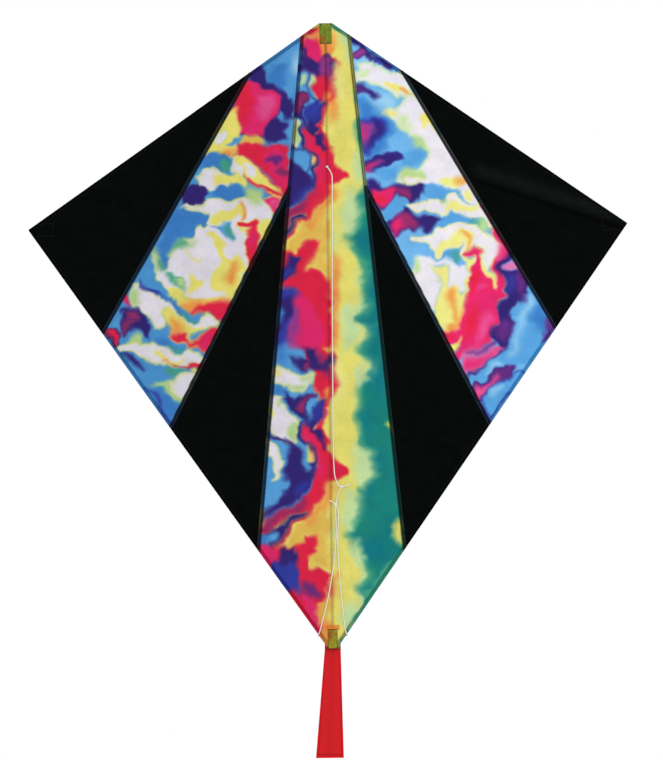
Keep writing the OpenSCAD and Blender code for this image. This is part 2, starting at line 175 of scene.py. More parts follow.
TEAL_F = "1150,-60 1180,100 1120,200 1170,260 1250,330 1180,440 1110,470 1090,540 1080,600 1100,650 1090,740 1080,800 1075,922 1110,1022 1130,1072 1190,1142 1200,1222 1240,1302 1250,1362 1180,1402 1120,1442 1080,1522 1090,1582 1110,1652 1080,1722 1060,1782 990,1852 970,1902 1010,1942 1060,1982 1090,2070 1140,2170 1190,2260 1200,2320 1120,2360 1130,2420 1200,2520 1160,2580 1080,2640 1085,2700 1700,2700 1700,-60"
CENTRE_TOP = """
f Y 6 - 0 880,-40 1150,-40 1080,200 1150,330 1100,430 1060,560 1080,760 1070,1000 1110,1300 1180,1400 1040,1500 1000,1700 960,1900 1060,2060 1120,2300 1060,2500 1000,2700 880,2700
f L 1.5 - 0 200,60 530,60 600,200 650,260 700,380 690,430 660,480 700,560 720,650 800,640 790,720 700,900 600,1015 600,1100 620,1200 720,1250 700,1400 600,1600 450,1700 180,1800 150,1015 180,600
f B 6 - 0 300,480 400,500 420,560 400,640 360,600 300,600
f B 8 - 0 300,100 420,80 420,300 330,280
f R 1.6 - 0 480,-60 740,-60 760,60 790,200 850,215 915,235 925,290 905,330 900,480 895,540 885,620 850,635 820,640 800,630 725,635 715,580 680,520 655,480 690,440 700,400 680,360 640,355 600,200
f m 5 - 0 560,0 640,-20 700,60 760,200 740,260 660,160 600,90
f O 5 - 0 745,-40 850,-40 870,60 850,205 795,195 760,80
f O 3 - 0 770,560 820,530 840,610 780,628
f v 5 - 0 650,150 720,180 790,260 780,330 720,300
f v 5 - 0 770,320 860,330 860,440 790,420
f I 2.2 - 0 330,-60 500,-60 530,40 480,88 400,90 320,76
f I 2 - 0 515,55 560,80 640,150 700,220 745,300 800,318 806,240 890,238 896,300 850,345 760,382 700,352 650,280 590,190 535,105
f D 4 - 0 300,-60 360,-60 370,60 320,90
f I 2.4 - 0 440,235 500,262 600,260 660,290 725,350 690,372 640,345 612,392 560,362 480,300
f v 2.5 - 0 620,300 660,310 660,345 615,370 600,340
f W 1.2 F 1.8 310,300 360,340 420,370 520,408 580,420 625,420 662,392 682,408 650,445 600,500 590,560 540,585 470,580 470,540 490,500 400,495 340,470 300,420
f G 3 - 0 560,420 620,425 670,395 660,430 600,490 560,470
f G 3 - 0 490,520 590,510 580,560 540,582 475,575
f Y 1.5 - 0 290,310 330,350 380,405 340,412 295,380
f I 1.6 - 0 415,540 425,620 500,642 560,610 640,578 690,574 696,610 650,655 605,700 592,760 570,830 500,752 420,700 396,650 402,590
f v 2.2 - 0 560,655 620,612 662,595 680,602 640,640 595,690 565,760 530,740 505,705
f L 1.2 - 0 620,700 660,650 705,600 718,645 692,690 655,740 630,810 606,760
f I 1.6 - 0 730,652 770,634 806,650 792,700 745,770 704,870 695,922 640,905 636,800 660,740 700,700
f D 3 - 0 730,670 780,650 770,700 710,780 680,850 650,840 665,760
f I 1.8 - 0 588,740 600,800 650,880 702,930 660,955 600,880 556,810
f W 1.4 F 1.8 284,620 350,605 375,630 365,700 400,740 470,780 530,830 550,880 540,960 525,1020 440,1050 350,990 280,900 262,830 268,700
f G 2.5 - 0 480,840 540,835 552,900 535,1010 470,1010 456,920
f G 2.5 - 0 350,680 372,700 360,760 345,730
f Y 2 - 0 255,640 300,700 298,800 262,810
f R 1.5 - 0 800,640 825,638 818,700 772,780 742,840 748,890 792,920 812,980 832,1060 850,1150 880,1160 900,1230 1000,1290 992,1330 940,1345 900,1382 830,1402 800,1482 760,1562 720,1622 640,1702 560,1752 500,1822 430,1922 340,1982 250,2121 200,2160 190,2121 260,2022 340,1952 400,1892 460,1822 560,1722 600,1662 560,1662 480,1712 400,1782 330,1812 190,1890 190,1782 330,1712 480,1612 600,1542 650,1482 680,1382 690,1272 720,1222 720,1122 640,1082 600,1022 575,870 600,870 680,950 720,900 700,870 755,760
f m 5 - 0 600,900 680,1010 700,1100 760,1200 740,1400 700,1250 700,1130 610,1040
f I 2 - 0 655,932 700,940 762,918 784,975 770,1030 820,1080 780,1090 700,985
f I 1.8 - 0 545,820 578,860 582,930 600,1022 640,1082 705,1100 722,1160 702,1232 684,1262 694,1342 672,1392 650,1362 660,1272 650,1242 692,1192 700,1140 688,1122 640,1112 590,1052 560,1010 552,950
f W 1.4 F 1.6 240,972 290,1032 330,1112 375,1172 385,1242 352,1342 335,1392 328,1322 308,1222 288,1162 236,1152
f I 1.4 - 0 262,930 330,980 420,1022 492,1032 532,1080 540,1105 500,1072 420,1052 335,1012 260,960
f I 2.6 - 0 436,1112 500,1052 545,1082 572,1182 602,1292 664,1322 672,1382 642,1462 602,1522 480,1592 330,1682 186,1770 186,1702 280,1642 370,1542 450,1462 482,1412 420,1392 408,1302 428,1202
f D 7 - 0 540,1420 620,1390 640,1440 560,1530 500,1530
f v 4 - 0 195,1782 330,1712 430,1662 600,1542 645,1560 560,1642 430,1722 330,1802 195,1880
f I 2.2 - 0 198,1912 270,1842 350,1822 420,1782 480,1722 560,1662 602,1682 560,1722 460,1822 400,1902 330,1962 250,2052 236,2032 300,1942 352,1882 350,1852 280,1862 196,1932
f L 2 I 1.6 188,1912 280,1864 348,1856 338,1902 290,1942 240,2040 186,1972
f o 2.6 - 0 560,1782 620,1752 700,1682 800,1622 822,1682 762,1822 720,1882 602,1882 560,1982 540,2022 460,2002 440,1972 500,1882
f O 5 - 0 830,1392 870,1442 850,1522 835,1602 760,1662 700,1722 640,1782 570,1770 610,1722 690,1672 745,1602 795,1502
f Y 4 - 0 745,1850 845,1700 850,2122 720,2122 740,1982
f o 3 - 0 700,1870 800,1720 850,1780 800,2000 720,2122 690,2060
f R 1.8 - 0 590,1922 650,1882 702,1862 722,1902 702,1982 692,2072 642,2160 520,2160 470,2230 560,2042 600,1972
f v 2.6 - 0 600,2010 650,1940 660,2020 600,2090 560,2110
f R 2 - 0 240,2056 330,1992 390,1992 440,2012 520,2042 500,2160 420,2300 340,2300
f m 3 - 0 300,2080 400,2040 400,2160 340,2200
j o 3 - 0 100,60 160,20 250,10 320,0 300,60 220,128 120,110
j R 2 - 0 0,60 100,82 120,130 220,130 300,70 335,-10 462,-10 470,80 420,200 380,260 352,330 342,400 430,392 520,372 600,420 650,470 655,600 602,760 540,812 492,822 490,900 450,900 380,800 280,760 230,700 240,600 170,570 100,522 170,400 200,300 260,200 180,160 100,200 0,290
j o 5 - 0 430,220 500,180 640,200 640,400 560,360 430,340 380,400 360,380
j I 2.5 - 0 110,160 200,168 272,190 205,320 170,430 100,500 40,492 -20,440 -20,330 60,290
j D 3 - 0 60,350 120,300 160,330 130,420 60,450
j v 5 - 0 245,600 330,540 420,560 520,640 560,700 430,760 330,760 242,700
j V 4 - 0 330,560 430,580 540,680 480,720 380,680
j B 3 D 2 130,602 190,582 240,602 250,660 205,702 150,700 120,650
j V 5 - 0 170,700 280,700 380,780 300,800 200,760
j m 4 - 0 240,780 380,770 450,840 470,900 440,1000 380,960
j O 5 - 0 460,880 520,820 600,800 620,850 560,1000 600,1200 620,1330 540,1250 480,1050
j o 5 - 0 520,820 600,800 640,900 600,1050 540,1000
j O 6 - 0 690,430 745,440 762,560 722,700 690,640
j R 4 - 0 630,500 692,620 684,700 650,760
"""

LEFT = """
p L 2 - 0 262,78 303,30 303,84 290,100 272,88
p B 4 - 0 272,64 288,63 289,86 276,91 268,78
p l 4 - 0 290,56 302,50 300,76 292,70
p I 1.6 - 0 244,72 256,66 264,72 273,86 285,90 292,100 296,119 290,124 282,109 276,99 266,93 250,83
p I 1.5 - 0 263,121 276,113 287,120 289,136 280,143 264,141
p m 1.2 I 1 247,80 257,82 270,90 280,93 281,100 277,114 265,130 261,136 240,136 226,124 238,96
p R 4 - 0 232,96 248,82 256,96 246,128 228,126
p P 4 - 0 262,93 277,97 273,112 262,125 256,112
p Y 1.3 - 0 238,100 236,120 242,135 222,147 204,160 204,148 214,134 226,114
p W 1.3 F 1.2 229,130 225,140 212,147 214,136
p o 1.6 - 0 239,136 264,134 262,144 238,147
p Y 1.5 - 0 204,147 240,145 240,153 232,161 200,162
p O 4 - 0 220,150 236,148 232,158 220,158
p R 1.5 - 0 238,143 262,142 276,146 292,146 290,162 289,196 283,196 275,182 257,164 236,153
p m 3 - 0 258,148 288,150 286,196 270,172
p v 2 - 0 276,166 290,169 290,177 276,174
p V 2 - 0 264,154 284,158 280,164 264,160
p Y 1 R 0.8 236,152 256,165 271,182 284,194 282,201 262,189 245,177 231,161
p W 1.3 - 0 245,163 256,168 259,177 250,178 244,170
p W 1.2 F 0.8 230,154 237,160 246,177 240,178 229,165
p B 1.4 - 0 194,154 231,153 234,162 222,173 202,170
p g 2.5 - 0 221,157 234,159 227,171 220,168
p W 1.3 F 1.2 200,168 228,172 230,184 215,189 196,188
p Y 1.2 - 0 214,173 236,173 250,181 246,187 230,181 214,186
p R 0.6 - 0 249,178 265,187 284,195 283,198 264,190 249,181
p L 2 - 0 286,119 295,119 294,160 287,158
p G 3 - 0 243,185 262,190 262,205 246,203
p B 1.4 - 0 209,186 244,183 246,200 220,202
p I 1.5 - 0 184,187 206,185 213,196 204,205 180,206
p W 1.3 F 1.2 180,203 208,206 225,200 242,198 244,206 222,212 200,211 184,210
a B 4 - 0 700,20 820,90 900,110 940,140 955,190 880,205 740,300 650,330 600,500 540,420 560,260 620,120
a I 1.6 - 0 730,-10 950,-10 900,42 830,22 790,12 770,30
a W 1.3 F 1.4 750,60 850,60 950,0 1380,-10 1432,90 1400,200 1340,330 1232,330 1215,560 1180,690 1110,790 960,780 820,785 740,745 640,724 560,640 520,560 488,480 500,400 530,500 600,560 622,480 640,400 720,340 820,270 890,205 950,212 930,132 880,97 800,82
a G 3 - 0 500,400 530,370 560,470 600,530 570,565 520,530 490,470
a g 2.5 - 0 530,470 570,510 600,545 560,560 530,520
a B 2.5 - 0 560,300 650,330 620,420 606,520 590,540 560,500 530,420
a G 2.6 - 0 640,362 700,322 780,320 840,288 790,350 720,380 650,400 622,452 600,430
a g 3 - 0 680,330 760,330 720,370 660,390 630,380
a Y 1.3 - 0 940,130 1000,100 1100,60 1160,15 1205,60 1200,104 1140,120 1100,160 1030,182 980,212 962,190
a O 2.2 - 0 1175,0 1212,60 1214,112 1180,152 1172,120 1190,80
a W 2 - 0 1150,90 1168,190 1200,240 1130,240 1110,180 1130,130
a G 4 - 0 1230,-20 1345,-20 1340,42 1262,32
a L 1.6 - 0 940,212 1010,215 1070,178 1112,168 1114,222 1150,282 1110,292 1060,262 1000,238
a g 3 - 0 1050,210 1110,200 1140,280 1090,270
a Y 1.4 - 0 1290,200 1340,188 1400,160 1432,170 1420,300 1340,330 1308,280
a Y 1.2 - 0 1150,190 1230,200 1240,250 1215,250 1195,215
a R 1 Y 1.2 1160,185 1188,152 1230,154 1280,140 1322,170 1320,195 1290,212 1302,270 1334,320 1340,420 1250,560 1214,570 1226,420 1240,330 1222,262 1250,220 1240,188 1180,198
a m 2.5 - 0 1250,240 1298,280 1312,340 1262,410 1244,330
a m 1.3 Y 1 1370,-20 1510,-20 1452,90 1420,80 1388,48
a P 3 - 0 1400,0 1490,0 1450,60 1410,50
a Y 1.6 - 0 918,258 980,280 1072,320 1070,342 1040,402 1062,440 1120,430 1160,430 1182,520 1212,530 1196,640 1150,720 1110,790 1060,762 980,682 938,662 960,582 1000,520 1032,470 1000,420 968,340
a O 4 - 0 1080,455 1130,500 1156,600 1120,700 1088,600
a Y 2 - 0 750,380 790,440 830,470 880,440 840,462 790,420
a Y 1.6 - 0 760,568 830,610 905,640 860,682 800,742 768,722 790,640
a Y 1.6 - 0 618,678 680,700 740,750 860,795 940,742 1060,762 1130,780 1090,810 980,830 920,880 740,892 700,802 600,772
a O 4 - 0 722,800 900,790 1080,785 1060,845 900,872 722,892
a g 2.4 - 0 600,560 660,578 722,620 752,730 720,722 680,682 640,640
a G 3 - 0 660,600 740,640 752,730 700,690
a R 2 - 0 1130,776 1080,905 1000,972 968,940 950,872 860,884 750,888 840,848 900,820 985,792
a W 1.5 - 0 880,658 1012,742 960,742 900,742 850,782 768,752
a Y 1.6 - 0 940,880 960,940 1000,972 1040,960 1010,1000 920,960 900,890
a W 1.3 F 1.4 326,640 440,690 520,760 600,810 662,822 692,902 722,932 830,978 880,920 942,900 1012,970 960,1002 880,1002 782,992 720,962 640,862 560,852 550,922 604,982 580,1004 500,1022 488,922 440,902 380,862 328,802 336,740
a D 1.2 - 0 346,620 400,655 470,680 545,722 596,790 560,762 520,738 460,700 388,680
a B 1.2 - 0 545,722 620,798 684,800 704,882 742,922 832,962 824,972 730,936 678,892 666,832 600,812 545,765
a g 2 - 0 700,890 760,930 840,962 820,975 740,940 690,905
a G 2.5 - 0 328,740 350,678 402,720 402,802 362,844 328,802
a Y 1.6 - 0 556,862 640,850 702,930 780,990 930,1000 900,1012 820,1042 790,1082 782,1122 762,1102 702,1062 628,1082 640,1002 560,922
a O 4 - 0 620,900 700,980 782,1022 742,1062 640,1072
a R 1.2 Y 1.2 618,1082 660,1032 740,1030 792,1040 762,1082 772,1132 850,1082 912,1042 1030,990 960,1160 882,1184 852,1132 772,1162 740,1102 640,1082
a m 2.5 - 0 860,1100 980,1030 930,1150 880,1170
a m 1.6 - 0 256,770 302,720 322,802 300,822
a I 1.8 - 0 236,832 330,828 422,900 464,960 452,1082 428,1042 400,1002 330,1012 252,1052 218,1042 230,982 258,900
a v 3 - 0 302,852 362,882 372,932 300,992 232,1046 222,1022 272,952
a L 1.4 - 0 150,985 240,932 282,850 250,902 202,1002
a R 1.2 I 1 110,1020 190,1008 202,1072 244,1132 222,1164 100,1040
a O 2.5 - 0 120,1030 170,1015 180,1060 140,1060
e R 1.2 I 1.2 426,88 520,80 540,160 604,232 572,274 500,182
e I 1.8 - 0 776,-10 872,-10 872,182 842,152 802,82 748,62
e v 1.5 I 1.2 566,120 600,60 680,0 744,8 682,60 620,122 592,137
e G 2.2 - 0 650,200 760,110 812,130 800,190 760,240 640,260
e W 1.4 F 1.6 596,284 650,242 720,222 782,230 862,220 932,260 1002,290 1100,300 1180,330 1240,290 1330,300 1440,390 1382,404 1292,402 1252,472 1182,452 1102,432 1022,452 960,442 900,392 822,342 740,322 650,312
e B 2 - 0 1000,180 940,210 960,260 1060,280 1150,270 1200,260 1080,230
e g 3 - 0 1080,250 1180,260 1200,290 1100,290
e Y 1.3 - 0 898,320 960,330 1042,370 1052,410 1182,400 1222,350 1212,422 1182,442 1102,432 1022,422
e O 1 - 0 1000,412 1100,416 1180,432 1180,444 1100,430 1010,428
e R 1 - 0 1130,420 1232,458 1268,458 1288,410 1400,398 1380,472 1302,462 1252,482 1182,452
e Y 1.5 - 0 1300,468 1380,470 1350,530 1290,500
e I 3 - 0 608,330 700,360 762,400 832,460 802,472 702,442 640,390
e g 4 - 0 1060,480 1162,450 1242,500 1152,562 1080,542
e G 2.6 - 0 896,642 1000,600 1082,588 1152,560 1200,640 1192,784 1120,782 1042,722 1000,672
e W 2 F 1.4 1042,620 1120,600 1182,522 1302,518 1340,542 1262,722 1202,772 1102,682
e B 4 - 0 860,662 1000,702 1102,792 1192,802 1112,1012 1000,902
e D 1.8 - 0 846,656 962,762 972,842 940,812 850,682
e D 2.5 - 0 960,770 1000,900 1110,1030 1080,1030 960,860
"""

RIGHT = """
p l 5 - 0 356,58 380,52 396,70 410,82 400,90 380,78 360,74
p l 5 - 0 372,92 398,98 396,116 382,112 374,104
p B 5 - 0 352,96 366,100 376,112 370,120 356,118
p I 2 - 0 347,34 356,40 370,50 384,60 396,68 392,72 379,65 372,57 365,52 356,46 348,44
p u 1.4 I 1 351,61 356,53 361,46 368,51 362,56 354,62
p D 2 - 0 376,58 382,62 381,69 378,64
p B 2.5 - 0 392,66 404,74 409,80 402,80 394,73
p W 2 z 2.4 355,75 361,68 363.5,64 370,61 374,62.5 373,68 382,71 388,74 401,77 409,84 416,95 407,95 394,94.5 387,90 379.8,84.5 368,81 356,79
p z 2.5 - 0 359,72 366,67 370,70 364,76 357,77
p Y 1 - 0 382,81 389,82 396,85.5 398,90 410,89.6 415,94 405,92.9 394,93 388,87.6
p O 0.9 - 0 397,91 405,90 416,93.5 416.5,95.6 406,93
p I 2.4 - 0 354,81 363.5,85 371.6,92 379,98 374,99.5 365.5,94.5 356,92
p V 3 - 0 354,84 362,87 367,93 358,92
p W 2.6 z 3 405,99 412,95 417.5,97 423,105 440,135 500,200 470,192 430,187 404,186 398,176 420,168 431,158 428,141 412.4,138 408,130 399,125 394,118 384,114.5 392,110 400,107
p y 2.5 - 0 383,114 392,111 400,110 398,116 390,117
p z 3.5 - 0 398,118 404,112 408,120 412,132 404,130
p G 4 - 0 412,138 424,140 431,147 428,155 418,150
p Y 1.4 - 0 419.6,115 426,114 433,122 438,130 431,124 425,123 424,128 420,128
p L 2 - 0 398,155 410,151 422,149 428,152 426,158 412,164 398,167
p B 5 - 0 362,116 378,112 392,118 392,138 384,150 372,158 360,158
p D 2.4 - 0 359,117 370,115.5 382,117.5 385.5,125 384,136 377,144 370,153 362,158 357,140
p I 3 - 0 372,119 380,120 381,134 374,144 368,150
p u 2.6 - 0 359,120 367,120 371.5,127 370.5,140 364,149 359,145
p m 4 - 0 359,126 364,128 364,140 360,142
p I 1.7 D 1 363,169 368,161 374.7,156 382,154 391,152 400,152.5 401,157 391,163 382,166 374,172
p u 1.8 - 0 364,171 370,163 380,158.5 384,160 376,166 369,172
p m 3 - 0 364,172 370,165 375,163 370,170
p L 2.5 - 0 372,172 384,167 398,168 398,180 380,178
p G 3 - 0 400,168 420,166 424,180 404,184
d I 1.6 - 0 40,-10 180,5 240,60 330,50 400,40 460,50 520,80 570,38 640,50 705,125 640,145 605,172 540,172 500,212 460,190 380,180 330,162 222,305 170,290 60,90
d m 1.5 - 0 116,92 240,60 360,68 332,152 212,285 160,240
d R 4 - 0 130,120 240,140 210,240 160,220
d v 2.4 - 0 350,78 450,90 480,130 480,182 380,167 342,142
d L 1.4 - 0 215,315 330,172 480,202 560,232 640,262 702,322 560,302 440,272 372,332 255,395
d W 1.6 F 1.2 440,-20 580,-20 560,42 520,62 470,42
d L 2 - 0 600,20 740,20 800,60 880,100 1000,98 1012,132 900,142 862,202 820,202 780,172 700,172 640,130
d y 1.4 - 0 740,-20 1040,-20 1010,32 960,82 862,72 800,52
d O 4 - 0 900,-10 1040,-20 1000,40 920,40
d W 1.3 - 0 958,82 1020,22 1060,32 1152,160 1204,255 1162,262 1080,232 1040,182 1028,102
d y 1.4 - 0 1050,112 1080,72 1136,150 1082,214 1048,172
d W 1.4 y 1.4 470,228 560,208 682,230 700,180 782,178 802,230 872,220 892,150 960,140 1002,182 1042,242 1162,262 1242,342 1292,422 1280,462 1180,352 1080,372 960,332 862,312 820,352 770,352 720,302 640,282 560,282 500,262
d y 1.4 - 0 880,238 940,188 982,230 1062,260 1162,272 1102,312 980,292 862,302 790,352 808,302
d G 2.4 - 0 800,200 862,208 842,242 808,232
d R 0.8 - 0 1142,262 1182,268 1252,338 1306,412 1290,424 1240,352 1172,292
d I 1.6 - 0 248,402 330,370 420,332 440,278 482,268 560,330 702,350 762,388 832,392 752,422 722,502 612,522 602,452 558,440 522,502 480,482 400,512 350,575 292,522
d m 3 - 0 270,425 400,362 482,332 540,402 462,472 370,502 338,566
d v 4 - 0 420,350 520,350 560,420 440,480 400,440
d L 1.6 - 0 758,432 842,330 922,318 1082,382 1152,350 1252,432 1182,482 1082,422 960,412 862,472 758,482
d G 3 - 0 1128,372 1202,370 1272,452 1232,522 1140,462
d g 3.5 - 0 1080,390 1150,400 1150,440 1090,420
d W 1.5 y 1.5 498,550 620,560 742,520 762,480 862,480 962,430 1062,418 1142,470 1252,540 1332,590 1350,602 1342,682 1352,742 1282,862 1232,872 1180,782 1202,762 1232,692 1202,650 1102,642 1062,642 1012,722 960,692 1002,602 902,662 862,722 782,742 742,702 740,642 682,642 680,602 560,592
d y 1.5 - 0 748,622 850,580 950,520 1032,458 1082,500 1132,560 1082,642 1040,692 1012,712 1000,602 902,662 850,702 762,742
d O 2 - 0 1030,480 1082,540 1094,592 1032,682 1060,600 1050,550
d L 1.6 - 0 728,740 802,750 902,690 952,680 962,792 992,852 940,852 862,802 782,772
d g 3 - 0 900,720 950,700 985,850 920,820
d W 1.6 - 0 484,826 600,770 690,715 762,760 862,810 962,862 1042,802 1062,882 1052,1002 1002,1122 960,1052 842,1042 828,1002 882,902 862,862 702,792 742,902 770,1002 802,1122 762,1182 705,1290 600,1130 520,950
d G 3.5 - 0 490,830 560,800 600,860 530,900
d y 1.5 - 0 690,788 742,830 872,868 872,922 830,1002 850,1042 962,1022 982,1102 1012,1122 1042,1002 1062,882 1040,782 992,742 1002,680 1062,760 1112,740 1142,762 1092,832 1082,902 1080,1002 1052,1112 1052,1202 1002,1282 982,1402 980,1490 880,1500 820,1520 700,1290 762,1172 802,1122 782,1042 742,922
d O 4 - 0 862,1050 940,1060 962,1160 932,1252 942,1362 972,1302 1042,1222 1000,1400 900,1400 890,1200
d O 3 - 0 830,1420 980,1400 980,1490 840,1500
d m 1.4 y 0.8 1012,700 1062,668 1152,660 1212,690 1212,722 1170,742 1182,812 1202,872 1262,952 1312,1062 1332,1002 1290,882 1342,802 1362,702 1352,582 1300,532 1290,462 1330,450 1420,560 1500,700 1430,762 1380,852 1382,902 1422,952 1412,1102 1342,1212 1332,1252 1372,1332 1372,1382 1302,1462 1282,1600 830,1600 815,1500 980,1472 982,1382 1052,1212 1082,1002 1082,862 1132,782 1142,722 1020,722
d R 4 - 0 1090,902 1132,852 1182,902 1152,1052 1092,1102 1062,1182 1040,1300 1000,1420 1060,1380
d P 5 - 0 1202,1002 1302,1102 1302,1302 1182,1502 1102,1402 1152,1202
d R 5 - 0 1230,960 1300,1080 1320,1200 1270,1180
d P 4 - 0 1340,560 1400,640 1400,760 1350,820
d y 1.2 - 0 1180,800 1242,862 1302,932 1334,1002 1322,1080 1288,1012 1230,932 1188,872
h m 2 - 0 640,440 740,440 850,430 840,560 740,575 690,540
h R 3 - 0 640,440 760,450 760,520 690,520
h Y 1.1 - 0 725,585 802,560 850,470 866,480 852,602 770,670
h m 2 - 0 900,140 1000,0 1290,0 1290,60 1202,132 1230,222 1270,292 1162,442 1172,512 1102,562 950,642 850,752 790,722 780,670 852,612 862,500 850,300
h P 5 - 0 1052,250 1202,250 1152,422 1002,562 902,642 842,742 1002,602
h R 5 - 0 900,260 1000,160 1040,300 960,460 880,500
h p 4 - 0 830,700 960,650 1120,580 1180,560 1100,640 960,720 850,760
h V 3.5 - 0 880,700 1002,640 1102,570 1202,515 1182,572 1052,652 950,682
h P 2.5 - 0 832,772 950,722 1100,642 1252,560 1292,580 1272,632 1102,772 1002,852 892,900
h m 4 - 0 860,820 1000,760 1100,690 1150,680 1000,820 900,870
h I 1.6 - 0 890,900 1002,850 1112,770 1232,650 1302,578 1335,580 1272,662 1182,722 1062,832 940,925
h L 1.5 - 0 925,932 1070,832 1202,712 1302,642 1402,560 1463,450 1463,782 1402,772 1292,832 1152,862 1062,962 980,972
h l 4 - 0 1120,860 1240,740 1380,680 1440,740 1300,790 1160,850
h V 1.6 I 1.6 1062,980 1152,870 1282,830 1402,780 1442,790 1382,882 1272,982 1152,1002 1112,1052 1052,1180 1002,1082 950,1022 1002,975
h P 2.4 - 0 968,1020 1042,1010 1132,960 1222,890 1242,922 1152,982 1082,1082 1045,1152
h L 1.6 D 1.6 1112,1062 1182,992 1302,962 1402,902 1500,850 1500,950 1302,1132 1172,1332 1132,1302 1066,1162
h l 4 - 0 1130,1060 1200,1010 1280,1020 1200,1120
h D 2 - 0 1050,1170 1100,1240 1170,1340 1150,1420 1040,1220
i I 1.7 - 0 325,240 385,170 420,250 352,300 304,340 332,368 432,368 472,430 532,470 532,562 562,662 522,692 460,652 402,692 400,772 442,852 422,892 392,952 352,1062 288,1102 200,1002 186,932 278,862 278,792 238,702 308,632 328,552 318,432 248,382 248,342
i V 4 - 0 420,400 500,480 520,562 450,622 420,520
i D 4 - 0 342,402 402,422 392,562 352,602
i V 5 - 0 250,880 330,800 400,860 360,1000 280,1040
i p 2.2 - 0 298,342 402,278 440,300 532,440 492,452 430,362 320,368
i L 1.5 - 0 536,488 600,540 800,880 720,1010 620,1240 240,1240 310,1072 382,1002 442,862 400,742 442,652 540,692 562,642
i l 5 - 0 562,570 602,680 520,800 500,902 440,1000 420,1100 330,1180 430,960 500,720
i B 5 - 0 642,640 742,800 702,962 602,902 562,802
i V 2.4 - 0 700,780 800,880 700,1010 650,1050 700,920
"""


def chaikin(p, n=2):
    p = np.array(p, float)
    for _ in range(n):
        q = np.roll(p, -1, 0)
        p = np.stack([p * 0.75 + q * 0.25, p * 0.25 + q * 0.75], 1).reshape(-1, 2)
    return p


def patches(text, shifts=(0,)):
    out = []
    for row in text.strip().splitlines():
        w = row.split()
        ox, oy, s = GRID[w[0]]
        pts = chaikin([(ox + float(a) / s, oy + float(b) / s) for a, b in (q.split(",") for q in w[5:])])
        for dy in shifts:
            out.append((INK[w[1]], float(w[2]), INK.get(w[3]), float(w[4]), pts + np.array([0.0, dy])))
    return out


def signed(poly, x, y):
    inside = np.zeros(len(x), bool)
    best = np.full(len(x), 1e9)
    for k in range(len(poly)):
        x0, y0 = poly[k - 1]; x1, y1 = poly[k]
        dx, dy = x1 - x0, y1 - y0
        t = np.clip(((x - x0) * dx + (y - y0) * dy) / (dx * dx + dy * dy + 1e-9), 0, 1)
        best = np.minimum(best, (x - x0 - t * dx) ** 2 + (y - y0 - t * dy) ** 2)
        if y0 != y1:
            cross = ((y0 > y) != (y1 > y)) & (x < (x1 - x0) * (y - y0) / (y1 - y0) + x0)
            inside ^= cross
    d = np.sqrt(best)
    return np.where(inside, -d, d)


def lay_on(rgb, x, y, layers, dx=0.0, spread=1.0):
    for ink, soft, rim, rim_w, poly in layers:
        poly = poly + np.array([dx, 0.0])
        m = (soft * 1.1 + 0.9) * spread * 1.6 + rim_w + 1.5
        near = np.where((x > poly[:, 0].min() - m) & (x < poly[:, 0].max() + m) &
                        (y > poly[:, 1].min() - m) & (y < poly[:, 1].max() + m))[0]
        if not len(near):
            continue
        d = signed(poly, x[near], y[near])
        if rim is not None and rim_w > 0:
            a = 1 - step(-0.7, rim_w + 1.4, d - 0.1)
            rgb[near] = rgb[near] * (1 - a[:, None]) + np.array(rim) * a[:, None]
        feather = (soft * 1.1 + 0.9) * spread * (1.0 + 0.55 * vnoise(x[near] / 9.0 + 3, y[near] / 9.0 + 3, 6))
        a = 1 - step(-feather, feather, d)
        rgb[near] = rgb[near] * (1 - a[:, None]) + np.array(ink) * a[:, None]
    return rgb


